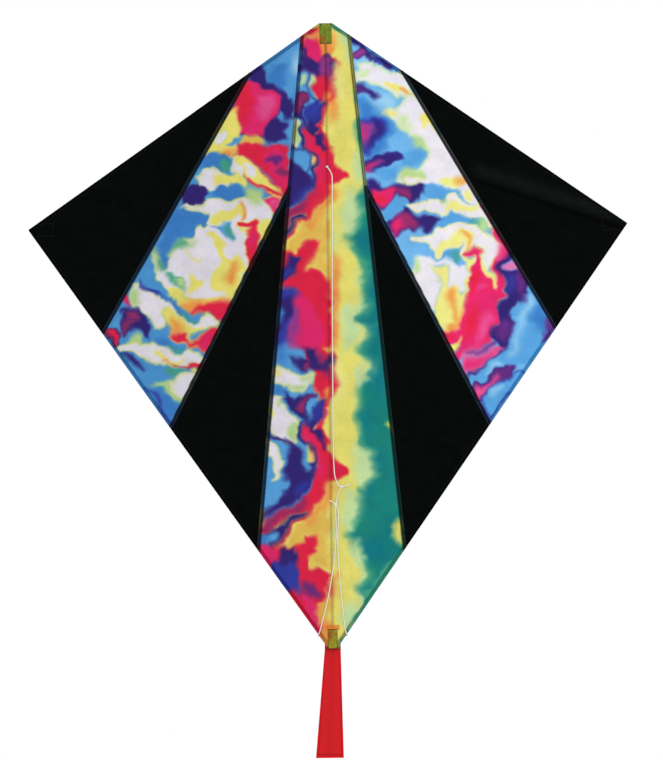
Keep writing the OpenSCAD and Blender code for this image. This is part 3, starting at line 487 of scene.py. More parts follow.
P_CENTRE_A = patches("\n".join("f %s %s - 0 %s" % (c, s, TEAL_F) for c, s in (("z", 6),)), (-296.5, 0))
P_CENTRE_B = patches("\n".join("f %s %s - 0 %s" % (c, s, TEAL_F) for c, s in (("g", 3.2),)), (-296.5, 0))
P_CENTRE_C = patches("\n".join("f %s %s - 0 %s" % (c, s, TEAL_F) for c, s in (("T", 5),)), (-296.5, 0))
P_CENTRE = patches(CENTRE_TOP, (-296.5, 0, 296.5))
P_EXTRA = patches("""
g Y 3 - 0 1380,880 1462,828 1495,860 1530,1040 1480,1050 1410,960
f F 2.5 - 0 1330,872 1372,828 1398,900 1410,975 1372,930
p o 3 - 0 302,34 320,32 320,42 304,42
p R 3 - 0 306,40 319,38 318,52 308,50
p z 4 - 0 339,28 352,30 355,58 350,62 344,48 338,40
p R 2 - 0 282,281 295,275 310,271 322,275 330,290 334,318 334,348 322,348 318,325 308,305 298,290 284,289
p O 4 - 0 331,285 338,300 340,330 338,345 333,345 334,318
p D 2.5 - 0 264,284 283,284 292,289 299,293 301,300 296,312 291,326 288,348 262,348
p I 2.5 - 0 276,300 288,296 296,300 292,310 286,322 280,336 270,342
p m 3.5 - 0 293,298 301,293 310,301 318,313 325,330 322,348 290,348 290,326 295,312
p u 4 - 0 289,312 298,306 300,320 296,340 288,348
p B 3 - 0 275,312 281,306 283,318 277,330 272,330
p L 1.4 I 1 292,82 299,76 303,70 301,84 297,96 290,104
p L 1.4 I 1 288,150 296,146 307,150 311,160 308,172 300,168 292,160
p I 2.5 - 0 286,158 300,166 306,178 304,190 296,198 284,206 282,190
p z 3 - 0 300,70 306,70 305,80 301,84
p B 2 - 0 250,526 262,531 268,540 266,552 250,548
p m 2 - 0 260,544 272,548 282,560 292,574 286,582 270,568
p D 2 - 0 272,562 284,556 296,566 300,580 296,594 284,594 272,578
p R 3 - 0 284,592 296,586 304,600 314,625 322,640 312,648 298,624
p m 3 - 0 300,590 308,596 318,622 322,636 314,630 304,606
p g 1 - 0 330,19 356,35 356,42 330,25
p g 1 - 0 341,652 410,545 402,540 337,640
p z 5 - 0 343,300 352,304 356,318 358,336 352,350 344,346 341,324
p z 4 - 0 354,362 362,366 364,380 358,390 353,378
p z 6 - 0 356,446 366,452 374,470 372,482 360,486 352,472
p z 6 - 0 346,484 356,488 358,506 354,528 345,530 342,506
p z 5 - 0 354,540 362,546 366,560 360,570 353,558
p z 5 - 0 342,600 352,602 358,616 350,630 342,622
p z 6 - 0 356,150 366,156 370,170 362,186 352,176
p z 6 - 0 346,188 356,192 358,210 354,230 345,233 341,210
p m 1.4 - 0 254,544 262,546 274,562 268,570 254,554
p I 2.2 - 0 280,545 290,548 294,556 286,566 278,558
p y 4 - 0 334,60 342,64 344,90 338,110 332,90
p y 4 - 0 336,356 344,362 345,390 340,410 334,388
p O 3 - 0 318,46 328,44 334,52 328,58 320,54
p O 4 - 0 332,96 338,100 338,116 333,124 329,112
p O 4 - 0 333,250 340,262 339,282 334,290 330,270
p L 1.5 I 1 297,70 307,70 309,77 306,86 309,93 316,97 314,104 304,109 296,102
p z 1.8 - 0 300,74 305,73 305,81 300,88
p m 2 - 0 303,38 312,36 317,44 322,54 318,62 310,58 305,50
p I 1.8 - 0 302,52 307,58 314,65 321,62 324,55 331,54 332,60 326,68 316,73 306,70 301,62
p u 3 - 0 322,56 331,56 331,72 324,76 318,70
p O 2.5 - 0 318,36 326,34 328,44 326,52 321,48
p v 1.6 I 1 298,95 306,92 309,97 304,106 298,116 294,110
p D 2 - 0 311,100 320,97 321,104 315,114 309,124 304,118 307,108
p I 2 - 0 309,118 316,124 319,132 314,134 308,128
""")
P_LEFT = patches(LEFT)
P_RIGHT = patches(RIGHT)


def to_unit(x, z):
    u, v = x / 1.219, -z / 1.219
    return 327.8 + u * cr + v * sr, 226.6 - u * sr + v * cr


def swirl(x, y, size, far, ch):
    """eddies: a displacement that turns the dye about without bunching it"""
    h = 0.05
    n = lambda a, b: vnoise(a / size + 9, b / size + 9, ch)
    gx = (n(x + h * size, y) - n(x - h * size, y)) / (2 * h)
    gy = (n(x, y + h * size) - n(x, y - h * size)) / (2 * h)
    return gy * far, -gx * far


def print_rgb(x, z, part):
    """0 to 1, as the eye reads it"""
    px, py = to_unit(x, z)
    ax_, ay_ = swirl(px, py, 17.0, 1.7, 0)
    bx_, by_ = swirl(px + ax_, py + ay_, 7.5, 0.8, 3)
    cx_, cy_ = swirl(px + ax_ + bx_, py + ay_ + by_, 3.2, 0.22, 5)
    wx, wy = px + ax_ + bx_ + cx_, py + ay_ + by_ + cy_
    rgb = np.zeros((len(px), 3))
    if part == "centre":
        rgb[:] = INK["Y"]
        lay_on(rgb, wx, wy, P_CENTRE_A, -17.0)
        lay_on(rgb, wx, wy, P_CENTRE_B, -4.0)
        lay_on(rgb, wx, wy, P_CENTRE_C, 4.0)
        g = vnoise(px / 14.0, py / 22.0, 5)[:, None]
        rgb[:] = np.where((rgb[:, 1:2] > rgb[:, 0:1] + 40), rgb + g * np.array([8, 10, -6]), rgb)
        lay_on(rgb, wx, wy, P_CENTRE)
        lay_on(rgb, wx, wy, P_EXTRA)
        # painted light: side_light_gain scales each panel's print, brighter on the right panel and darker on the left,
        # as if lit from the right
        side_light_gain = 0.985
    elif part == "left":
        rgb[:] = (74, 146, 206)
        lay_on(rgb, wx, wy, P_LEFT)
        side_light_gain = 0.965
    else:
        rgb[:] = (106, 172, 224)
        lay_on(rgb, wx, wy, P_RIGHT)
        side_light_gain = 1.06
    tone = 1 + 0.025 * vnoise(px / 11.0, py / 11.0, 6) + 0.015 * vnoise(px / 3.0, py / 3.0, 7)
    return np.clip(rgb * side_light_gain * tone[:, None] / 255.0, 0.01, 0.955)


def deepen(rgb, k, sat=1.25):
    """darker and more saturated, where the cloth lies double"""
    grey = rgb.mean(1, keepdims=True)
    return np.clip(grey + (rgb - grey) * sat, 0, 1) * k


def linear(rgb):
    rgb = np.clip(rgb, 0, 1)
    return np.where(rgb <= 0.04045, rgb / 12.92, ((rgb + 0.055) / 1.055) ** 2.4)


def cloth_rgb(x, z, part, back=False):
    """colour of a sail panel, with hems, seams and pockets showing through it, and painted shade: the spine rod's
    shadow, a shadow line at the centre seam's edge, and a shaded crease with a painted highlight in the right tip
    """
    ax = np.abs(x)
    if part in ("tip", "gore"):
        rgb = np.tile(np.array([0.018, 0.032, 0.024]), (len(x), 1))
        rgb += 0.006 * vnoise(x / 9.0, z / 9.0, 5)[:, None]
        if part == "tip" and np.any(x > 0):      # a pulled crease runs into the right tip
            d = line_side((170, 58), (318, 8), x, z)
            on = step(165, 195, x) * (x > 0)
            # painted highlight: a lighter band of sheen just above the crease
            rgb += (0.045 * np.exp(-((d - 13) / 9.0) ** 2) * on)[:, None]
            # painted shade along the crease line
            rgb *= (1 - 0.85 * np.exp(-(d / 2.2) ** 2) * on)[:, None]
    else:
        rgb = print_rgb(x, z, part)
    e, _, _ = edge_in(x, z)
    black = part in ("tip", "gore")
    hem = (1 - step(HEM - 0.5, HEM + 0.3, e))[:, None]
    rgb = rgb * (1 - hem) + deepen(rgb, 0.6 if black else 0.74) * hem
    if not black:
        dA = line_side(A_TOP, A_LOW, ax, z); dB = line_side(B_TOP, B_LOW, ax, z); dI = line_side(I_TOP, I_LOW, ax, z)
        if part == "centre":
            over_black = (z < 49.0)
            f = step(2.6, 2.0, np.abs(dA))
            k = np.where(over_black, 0.24, 0.62)
            rgb = rgb * (1 - f[:, None]) + deepen(rgb, 1.0, 1.35) * (k * f)[:, None]
            # painted shade: a dark violet line along the edge of the centre seam's top layer stands in for its contact
            # shadow
            lip = (0.34 * np.exp(-((np.abs(dA) - 1.5) / 0.9) ** 2) * (z > 40))[:, None]
            rgb = rgb * (1 - lip) + np.array([0.16, 0.12, 0.22]) * lip
            if not back:
                # painted shadow of the spine rod: a dark line along x = 0 showing through the cloth, stronger towards
                # the nose
                spine = 0.24 * np.exp(-(x / 1.7) ** 2) * step(-514, -505, z) * (1 + 0.6 * step(120, 170, z))
                rgb *= (1 - spine)[:, None] ** np.array([0.7, 1.0, 1.0])
                pocket = (ax < 7.3) & (z > 223.6)
                tint = np.array([0.47, 0.56, 0.17]) * (0.94 + 0.12 * vnoise(x / 2.0, z / 3.0, 1))[:, None]
                warm = np.array([0.62, 0.34, 0.10])
                wm = (np.exp(-((x + 4.4) / 3.4) ** 2 - ((z - 228.5) / 5.0) ** 2))[:, None]
                rgb = np.where(pocket[:, None], tint * (1 - wm) + warm * wm, rgb)
                low = (ax < 5.6) & (z < -491.3)
                tint = np.array([0.60, 0.57, 0.16]) * (0.94 + 0.12 * vnoise(x / 2.0, z / 3.0, 1))[:, None]
                warm = np.array([0.60, 0.33, 0.12])
                wm = (np.exp(-((x + 3.0) / 2.8) ** 2 - ((z + 498) / 7.0) ** 2))[:, None]
                rgb = np.where(low[:, None], tint * (1 - wm) + warm * wm, rgb)
                band = (0.75 * step(9.5, 8.0, ax) * step(-484.8, -486.5, z) * step(-492.5, -491.0, z))[:, None]
                rgb = rgb * (1 - band) + np.array([0.86, 0.46, 0.16]) * band
                box = (((np.abs(ax - 5.6) < 0.55) & (z < -491)) | ((np.abs(z + 491.4) < 0.5) & (ax < 5.8)) |
                       ((np.abs(ax - 7.0) < 0.5) & (z > 223)) | ((np.abs(z - 223.5) < 0.5) & (ax < 7.3)))
                rgb = np.where(box[:, None], rgb * 0.42, rgb)
                ring = np.exp(-((np.hypot(x, z - 73.0) - 2.6) / 0.6) ** 2)[:, None]
                rgb *= 1 - 0.35 * ring
        else:
            for d, on, k in ((dB, 1.0, 0.17), (dI, 1.0, 0.17)):
                f = step(2.6, 2.0, np.abs(d)) * on
                rgb = rgb * (1 - f[:, None]) + deepen(rgb, 1.0, 1.35) * (k * f)[:, None]
    if back:
        rgb = rgb * 0.93 + (0.0 if black else 0.045)
    return linear(rgb)


# ---------------------------------------------------------------- mesh helpers
def new_object(name, verts, faces, mats, rgb=None, sharp=38, face_mat=None, smooth=True):
    me = bpy.data.meshes.new(name)
    me.from_pydata((np.asarray(verts, float) * MM).tolist(), [], faces)
    me.update()
    if rgb is not None:
        att = me.color_attributes.new(name="print", type="FLOAT_COLOR", domain="POINT")
        flat = np.ones((len(me.vertices), 4), np.float32)
        flat[:, :3] = rgb
        att.data.foreach_set("color", flat.ravel())
    for m in (mats if isinstance(mats, (list, tuple)) else [mats]):
        me.materials.append(m)
    if face_mat is not None:
        me.polygons.foreach_set("material_index", np.asarray(face_mat, np.int32))
    if smooth:
        me.polygons.foreach_set("use_smooth", np.ones(len(me.polygons), bool))
        if sharp:
            me.set_sharp_from_angle(angle=math.radians(sharp))
    ob = bpy.data.objects.new(name, me)
    bpy.context.scene.collection.objects.link(ob)
    return ob


def resample(poly, h):
    out = []
    for k in range(len(poly)):
        a, b = np.array(poly[k]), np.array(poly[(k + 1) % len(poly)])
        n = max(1, int(round(np.linalg.norm(b - a) / h)))
        for i in range(n):
            out.append(a + (b - a) * i / n)
    return np.array(out)


def offset_poly(poly, out):
    """moves each edge of a counter-clockwise polygon outwards by its own distance"""
    n = len(poly)
    lines = []
    for k in range(n):
        a, b = np.array(poly[k], float), np.array(poly[(k + 1) % n], float)
        d = (b - a) / np.linalg.norm(b - a)
        nrm = np.array([d[1], -d[0]])
        lines.append((a + nrm * out[k], d))
    res = []
    for k in range(n):
        p, d = lines[k - 1]; q, e = lines[k]
        den = d[0] * e[1] - d[1] * e[0]
        if abs(den) < 1e-9:
            res.append(tuple(q))
        else:
            t = ((q[0] - p[0]) * e[1] - (q[1] - p[1]) * e[0]) / den
            res.append(tuple(p + d * t))
    return res


def area_of(poly):
    p = np.array(poly); q = np.roll(p, -1, 0)
    return 0.5 * float(np.sum(p[:, 0] * q[:, 1] - q[:, 0] * p[:, 1]))


def triangulate(poly, h):
    """even triangles inside a polygon given counter-clockwise"""
    rim = resample(poly, h)
    lo, hi = rim.min(0), rim.max(0)
    zs = np.arange(lo[1], hi[1], h * 0.8660254)
    rows = []
    for k, z in enumerate(zs):
        xs = np.arange(lo[0] + (h / 2 if k % 2 else 0), hi[0], h)
        rows.append(np.stack([xs, np.full(len(xs), z)], 1))
    pts = np.concatenate(rows)
    d = signed(np.array(poly, float), pts[:, 0], pts[:, 1])
    pts = pts[d < -0.62 * h]
    allp = np.concatenate([rim, pts])
    n = len(rim)
    res = delaunay_2d_cdt([Vector((float(a), float(b))) for a, b in allp], [], [list(range(n))], 1, 1e-4)
    v = np.array([(p[0], p[1]) for p in res[0]])
    f = np.array([list(t) for t in res[2] if len(t) == 3], int)
    a, b, c = v[f[:, 0]], v[f[:, 1]], v[f[:, 2]]
    cross = (b[:, 0] - a[:, 0]) * (c[:, 1] - a[:, 1]) - (b[:, 1] - a[:, 1]) * (c[:, 0] - a[:, 0])
    f = f[np.abs(cross) > 1e-7]; cross = cross[np.abs(cross) > 1e-7]
    f[cross < 0] = f[cross < 0][:, ::-1]
    return v, f


def slab(v, f, mid, thick, mirror=1.0):
    """closed cloth from a flat triangulation: front towards -Y, back towards +Y"""
    n = len(v)
    x, z = v[:, 0] * mirror, v[:, 1]
    t = thick(x, z) if callable(thick) else np.full(n, thick)
    y = mid(x, z)
    front = np.stack([x, y - t / 2, z], 1)
    back = np.stack([x, y + t / 2, z], 1)
    if mirror < 0:
        f = f[:, ::-1]
    edges = {}
    for a, b, c in f:
        for p, q in ((a, b), (b, c), (c, a)):
            if (q, p) in edges:
                del edges[(q, p)]
            else:
                edges[(p, q)] = 1
    faces = [tuple(t) for t in f.tolist()] + [(c + n, b + n, a + n) for a, b, c in f.tolist()]
    faces += [(int(q), int(p), int(p) + n, int(q) + n) for p, q in edges]
    return np.concatenate([front, back]), faces, x, z


def frames(p):
    """tangent, side, up at each point of a path, turning as little as possible"""
    t = np.gradient(p, axis=0)
    t /= np.linalg.norm(t, axis=1)[:, None] + 1e-12
    side = np.zeros_like(p)
    ref = np.array([0, -1.0, 0]) if abs(t[0, 1]) < 0.8 else np.array([1.0, 0, 0])
    s = np.cross(t[0], ref); s /= np.linalg.norm(s)
    for k in range(len(p)):
        s = s - t[k] * (s @ t[k]); s /= np.linalg.norm(s)
        side[k] = s
    return t, side, np.cross(t, side)


def even(p, h):
    p = np.asarray(p, float)
    seg = np.r_[0, np.cumsum(np.linalg.norm(np.diff(p, axis=0), axis=1))]
    n = max(4, int(round(seg[-1] / h)))
    s = np.linspace(0, seg[-1], n + 1)
    return np.stack([np.interp(s, seg, p[:, k]) for k in range(3)], 1), seg[-1]


def catmull(p, n=10):
    p = np.asarray(p, float)
    out = []
    for i in range(len(p) - 1):
        p0, p1, p2, p3 = p[max(i - 1, 0)], p[i], p[i + 1], p[min(i + 2, len(p) - 1)]
        for k in range(n):
            t = k / n
            out.append(0.5 * (2 * p1 + (p2 - p0) * t + (2 * p0 - 5 * p1 + 4 * p2 - p3) * t * t +
                              (3 * p1 - p0 - 3 * p2 + p3) * t ** 3))
    out.append(p[-1])
    return np.array(out)


def tube(path, radius, sides=12, h=0.5, braid=0.0, pitch=2.4, closed=False, taper=True):
    """closed tube along a path; braid raises crossing strands"""
    p, length = even(path, h)
    if closed:
        p = p[:-1]
    n = len(p)
    t, s, u = frames(p)
    if closed:   # spread the twist left over at the join
        c = np.clip(s[-1] @ s[0], -1, 1)
        tw = math.atan2(np.cross(s[-1], s[0]) @ t[0], c)
        a = np.linspace(0, tw, n)[:, None]
        s, u = s * np.cos(a) + u * np.sin(a), u * np.cos(a) - s * np.sin(a)
    th = np.linspace(0, 2 * math.pi, sides, endpoint=False)
    along = np.linspace(0, length, n)[:, None]
    r = np.full((n, sides), float(radius))
    if braid:
        w = 2 * math.pi * along / pitch
        weave = np.maximum(np.sin(4 * th[None, :] + w), np.sin(4 * th[None, :] - w))
        r = r * (1 + braid * (weave - 0.5))
    verts = p[:, None, :] + (s[:, None, :] * np.cos(th)[None, :, None] + u[:, None, :] * np.sin(th)[None, :, None]) * r[:, :, None]
    verts = verts.reshape(-1, 3)
    faces = []
    last = n if closed else n - 1
    for i in range(last):
        j = (i + 1) % n
        for k in range(sides):
            l = (k + 1) % sides
            faces.append((i * sides + k, i * sides + l, j * sides + l, j * sides + k))
    if not closed:
        extra = []
        for end, i in ((0, 0), (1, n - 1)):
            d = -t[0] if end == 0 else t[-1]
            base = len(verts) + len(extra)
            ring = verts[i * sides:(i + 1) * sides]
            mid = ring.mean(0)
            extra += list(mid + (ring - mid) * 0.72 + d * radius * 0.5)
            extra.append(mid + d * radius * 0.72)
            for k in range(sides):
                l = (k + 1) % sides
                a, b, c, e = i * sides + k, i * sides + l, base + l, base + k
                faces.append((a, e, c, b) if end == 0 else (a, b, c, e))
                faces.append((e, base + sides, c) if end == 0 else (e, c, base + sides))
        verts = np.concatenate([verts, np.array(extra)])
    return verts, faces, length, p


def lathe(profile, axis, centre, sides=40):
    """closed turned shape; profile is (along, radius) pairs, solid of revolution with ends on the axis or a ring"""
    ax = {"x": (np.array([1., 0, 0]), np.array([0, 1., 0]), np.array([0, 0, 1.])),
          "z": (np.array([0, 0, 1.]), np.array([1., 0, 0]), np.array([0, 1., 0]))}[axis]
    pr = np.array(profile, float)
    th = np.linspace(0, 2 * math.pi, sides, endpoint=False)
    v = (np.array(centre)[None, None, :] + ax[0][None, None, :] * pr[:, 0][:, None, None] +
         pr[:, 1][:, None, None] * (ax[1][None, None, :] * np.cos(th)[None, :, None] + ax[2][None, None, :] * np.sin(th)[None, :, None]))
    n = len(pr)
    faces = []
    for i in range(n):
        j = (i + 1) % n
        for k in range(sides):
            l = (k + 1) % sides
            faces.append((i * sides + k, i * sides + l, j * sides + l, j * sides + k))
    return v.reshape(-1, 3), faces


def join(parts):
    vs, fs, o = [], [], 0
    for v, f in parts:
        vs.append(np.asarray(v)); fs += [tuple(i + o for i in t) for t in f]; o += len(v)
    return np.concatenate(vs), fs


def fixed_normals(ob):
    import bmesh
    bm = bmesh.new(); bm.from_mesh(ob.data)
    bmesh.ops.recalc_face_normals(bm, faces=bm.faces)
    bm.to_mesh(ob.data); bm.free()
    return ob


# ---------------------------------------------------------------- materials
def new_mat(name):
    m = bpy.data.materials.new(name)
    m.use_nodes = True
    nt = m.node_tree
    b = nt.nodes["Principled BSDF"]
    return m, nt, b


def node(nt, kind, **kw):
    n = nt.nodes.new(kind)
    for k, v in kw.items():
        if k.startswith("_"):
            n.inputs[k[1:].replace("_", " ")].default_value = v
        else:
            setattr(n, k, v)
    return n


def spread_to(nt, src, lo, hi, a=0.0, b=1.0):
    r = node(nt, "ShaderNodeMapRange")
    r.inputs["From Min"].default_value, r.inputs["From Max"].default_value = a, b
    r.inputs["To Min"].default_value, r.inputs["To Max"].default_value = lo, hi
    nt.links.new(src, r.inputs["Value"])
    return r.outputs["Result"]


def times(nt, colour, factor):
    v = node(nt, "ShaderNodeVectorMath", operation="SCALE")
    nt.links.new(colour, v.inputs[0]); nt.links.new(factor, v.inputs["Scale"])
    return v.outputs["Vector"]


def maths(nt, op, a, b):
    n = node(nt, "ShaderNodeMath", operation=op)
    for i, s in enumerate((a, b)):
        if isinstance(s, (int, float)):
            n.inputs[i].default_value = s
        else:
            nt.links.new(s, n.inputs[i])
    return n.outputs[0]


def cloth_mat(name, colour=None, rough=0.6, spec=0.25, sheen=0.1, period=0.9, weave=0.06, bump=0.25, mottle=0.05, ripstop=0.0):
    """woven cloth: over-and-under threads, dye mottling and slightly uneven gloss; period is the thread pitch in mm"""
    m, nt, b = new_mat(name)
    tc = node(nt, "ShaderNodeTexCoord")
    obj = tc.outputs["Object"]
    if colour is None:
        at = node(nt, "ShaderNodeAttribute"); at.attribute_name = "print"
        col = at.outputs["Color"]
    else:
        c = node(nt, "ShaderNodeRGB"); c.outputs[0].default_value = (*colour, 1)
        col = c.outputs[0]
    s = 0.314159 / (period * MM)
    wx = node(nt, "ShaderNodeTexWave", bands_direction="X", _Scale=s, _Distortion=0.6, _Detail=1.0)
    wz = node(nt, "ShaderNodeTexWave", bands_direction="Z", _Scale=s, _Distortion=0.6, _Detail=1.0)
    nt.links.new(obj, wx.inputs["Vector"]); nt.links.new(obj, wz.inputs["Vector"])
    thread = maths(nt, "MULTIPLY", wx.outputs["Fac"], wz.outputs["Fac"])
    slub = node(nt, "ShaderNodeTexNoise", _Scale=420.0, _Detail=3.0)
    dye = node(nt, "ShaderNodeTexNoise", _Scale=38.0, _Detail=4.0, _Roughness=0.6)
    nt.links.new(obj, slub.inputs["Vector"]); nt.links.new(obj, dye.inputs["Vector"])
    col = times(nt, col, spread_to(nt, thread, 1 - weave, 1 + weave))
    col = times(nt, col, spread_to(nt, dye.outputs["Fac"], 1 - mottle, 1 + mottle, 0.3, 0.7))
    col = times(nt, col, spread_to(nt, slub.outputs["Fac"], 1 - mottle * 0.7, 1 + mottle * 0.7, 0.3, 0.7))
    height = maths(nt, "ADD", thread, maths(nt, "MULTIPLY", slub.outputs["Fac"], 0.5))
    if ripstop:
        s2 = 0.314159 / (ripstop * MM)
        rx = node(nt, "ShaderNodeTexWave", bands_direction="X", _Scale=s2)
        rz = node(nt, "ShaderNodeTexWave", bands_direction="Z", _Scale=s2)
        nt.links.new(obj, rx.inputs["Vector"]); nt.links.new(obj, rz.inputs["Vector"])
        grid = maths(nt, "POWER", maths(nt, "MAXIMUM", rx.outputs["Fac"], rz.outputs["Fac"]), 24.0)
        height = maths(nt, "ADD", height, maths(nt, "MULTIPLY", grid, 1.2))
        col = times(nt, col, spread_to(nt, grid, 1.0, 1.25))
    nt.links.new(col, b.inputs["Base Color"])
    nt.links.new(spread_to(nt, dye.outputs["Fac"], rough - 0.08, rough + 0.1, 0.3, 0.7), b.inputs["Roughness"])
    bp = node(nt, "ShaderNodeBump", _Strength=bump, _Distance=0.00012)
    nt.links.new(height, bp.inputs["Height"]); nt.links.new(bp.outputs["Normal"], b.inputs["Normal"])
    b.inputs["Specular IOR Level"].default_value = spec
    b.inputs["Sheen Weight"].default_value = sheen
    b.inputs["Sheen Roughness"].default_value = 0.5
    return m


def smooth_mat(name, colour, rough, spec=0.5, grain=600.0, streak=None, bump=0.15, vary=0.12, dist=0.00008):
    """moulded or drawn plastic: fine grain, handling marks and uneven gloss; streak stretches the grain along an axis"""
    m, nt, b = new_mat(name)
    tc = node(nt, "ShaderNodeTexCoord")
    mp = node(nt, "ShaderNodeMapping")
    if streak:
        mp.inputs["Scale"].default_value = streak
    nt.links.new(tc.outputs["Object"], mp.inputs["Vector"])
    fine = node(nt, "ShaderNodeTexNoise", _Scale=grain, _Detail=4.0)
    wide = node(nt, "ShaderNodeTexNoise", _Scale=grain / 9.0, _Detail=3.0)
    for n in (fine, wide):
        nt.links.new(mp.outputs["Vector"], n.inputs["Vector"])
    c = node(nt, "ShaderNodeRGB"); c.outputs[0].default_value = (*colour, 1)
    col = times(nt, c.outputs[0], spread_to(nt, wide.outputs["Fac"], 1 - vary, 1 + vary, 0.3, 0.7))
    col = times(nt, col, spread_to(nt, fine.outputs["Fac"], 1 - vary, 1 + vary, 0.3, 0.7))
    nt.links.new(col, b.inputs["Base Color"])
    nt.links.new(spread_to(nt, wide.outputs["Fac"], rough - 0.08, rough + 0.12, 0.3, 0.7), b.inputs["Roughness"])
    bp = node(nt, "ShaderNodeBump", _Strength=bump, _Distance=dist)
    nt.links.new(fine.outputs["Fac"], bp.inputs["Height"]); nt.links.new(bp.outputs["Normal"], b.inputs["Normal"])
    b.inputs["Specular IOR Level"].default_value = spec
    return m


M_PRINT = cloth_mat("printed_polyester", rough=0.66, spec=0.08, sheen=0.0, period=0.85, weave=0.045, mottle=0.035)
M_BLACK = cloth_mat("black_polyester", rough=0.55, spec=0.016, sheen=0.0, period=0.85, weave=0.16, bump=0.35, mottle=0.12, ripstop=5.5)
M_HEM = cloth_mat("hem_cloth", rough=0.66, spec=0.06, sheen=0.0, period=0.85, weave=0.06, mottle=0.05)
M_POCKET = cloth_mat("pocket_cloth_black", colour=(0.012, 0.012, 0.013), rough=0.75, spec=0.2, sheen=0.12, period=0.7, weave=0.3, bump=0.5, mottle=0.15)
M_TAIL = cloth_mat("red_ribbon", rough=0.55, spec=0.10, sheen=0.0, period=0.6, weave=0.05, bump=0.3, mottle=0.03)
M_THREAD = smooth_mat("sewing_thread", (0.016, 0.012, 0.020), 0.7, spec=0.2, grain=5000.0, vary=0.3)
M_THREAD_RED = smooth_mat("sewing_thread_red", (0.36, 0.010, 0.016), 0.7, spec=0.2, grain=5000.0, vary=0.25)
M_LINE = cloth_mat("bridle_braid", colour=(0.86, 0.83, 0.74), rough=0.7, spec=0.2, sheen=0.15, period=0.35, weave=0.07, bump=0.4, mottle=0.05)
M_ROD = smooth_mat("black_glass_fibre", (0.022, 0.022, 0.026), 0.34, spec=0.5, grain=2600.0, streak=(1, 1, 0.02), bump=0.25, vary=0.3)
M_ROD_X = smooth_mat("black_glass_fibre_cross", (0.022, 0.022, 0.026), 0.34, spec=0.5, grain=2600.0, streak=(0.02, 1, 1), bump=0.25, vary=0.3)
M_VINYL = smooth_mat("black_vinyl", (0.017, 0.017, 0.019), 0.42, spec=0.4, grain=900.0, bump=0.2, vary=0.18)

# ---------------------------------------------------------------- cords: routes as in the CAD, mm
UPPER = [(0, -2.3, 73), (0.3, -3.6, 72.6), (2.8, -4.5, 69), (5.2, -4.4, 64), (6, -4.3, 56), (5.6, -4.3, 20),
         (4.9, -4.3, -40), (4.3, -4.3, -100), (3.9, -4.3, -160), (3.6, -4.3, -220), (3.5, -4.3, -266),
         (4.3, -4.5, -297), (6.2, -4.9, -308.5), (9.4, -5.5, -315.6), (12.6, -5.7, -317)]
UPPER_TAG = [(14, -5.7, -317), (18, -5.4, -316), (24.5, -4.6, -313.8)]
LINK = [(12.6, -5.7, -318), (11.4, -5.4, -320), (8.4, -5.0, -327), (6.6, -5.3, -334.5), (5.8, -5.6, -337.5)]
LOWER_TAG = [(4.8, -5.7, -337.8), (2.6, -5.4, -336), (-0.6, -4.7, -334.4), (-1.7, -4.6, -333.9)]
LEG_L = [(5.0, -5.6, -339.6), (5.5, -4.6, -351), (5.8, -4.3, -376), (2.9, -4.3, -408), (-4.5, -4.3, -450),
         (-12.5, -4.3, -482), (-15.8, -4.4, -494), (-18.0, -3.4, -498.2), (-16.6, -1.6, -498.6), (-11, -0.8, -495.5),
         (-5, 0.3, -490.6), (-2.4, 0.9, -487.6)]
LEG_R = [(6.4, -5.6, -339.6), (8.9, -4.6, -351), (7.5, -4.3, -376), (8.3, -4.3, -408), (11.2, -4.3, -450),
         (14.5, -4.3, -482), (16.2, -4.4, -494), (18.0, -3.4, -498.2), (16.6, -1.6, -498.6), (11, -0.8, -495.5),
         (5, 0.3, -490.6), (2.4, 0.9, -487.6)]
LINE_R = 0.7


def cord_piece(name, route, swaps):
    path = catmull(route, 12)
    v, f, length, p = tube(path, LINE_R * 0.96, sides=16, h=0.42, braid=0.10, pitch=2.6)
    ob = new_object(name, v, f, M_LINE, sharp=None)
    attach(ob, "root")
    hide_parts(*swaps)
    return ob, length


def trefoil(centre, size, tilt):
    t = np.linspace(0, 2 * math.pi, 97)[:-1]
    q = np.stack([(2 + np.cos(3 * t)) * np.cos(2 * t), np.sin(3 * t) * 1.15, (2 + np.cos(3 * t)) * np.sin(2 * t)], 1) * size / 3
    c, s = math.cos(tilt), math.sin(tilt)
    q = np.stack([q[:, 0] * c - q[:, 2] * s, q[:, 1], q[:, 0] * s + q[:, 2] * c], 1) + np.array(centre)
    v, f, _, _ = tube(np.concatenate([q, q[:1]]), 0.62, sides=12, h=0.3, braid=0.09, pitch=2.2, closed=True)
    return v, f


def wraps(z0, front_knot):
    """three turns of line round the spine; no hitch on the front is drawn and front_knot is not used"""
    t = np.linspace(0, 3 * 2 * math.pi, 220)
    hel = np.stack([2.16 * np.sin(t), -2.16 * np.cos(t), z0 - 1.45 + 2.9 * t / t[-1]], 1)
    v, f, _, _ = tube(hel, 0.56, sides=12, h=0.3, braid=0.09, pitch=2.2)
    return v, f


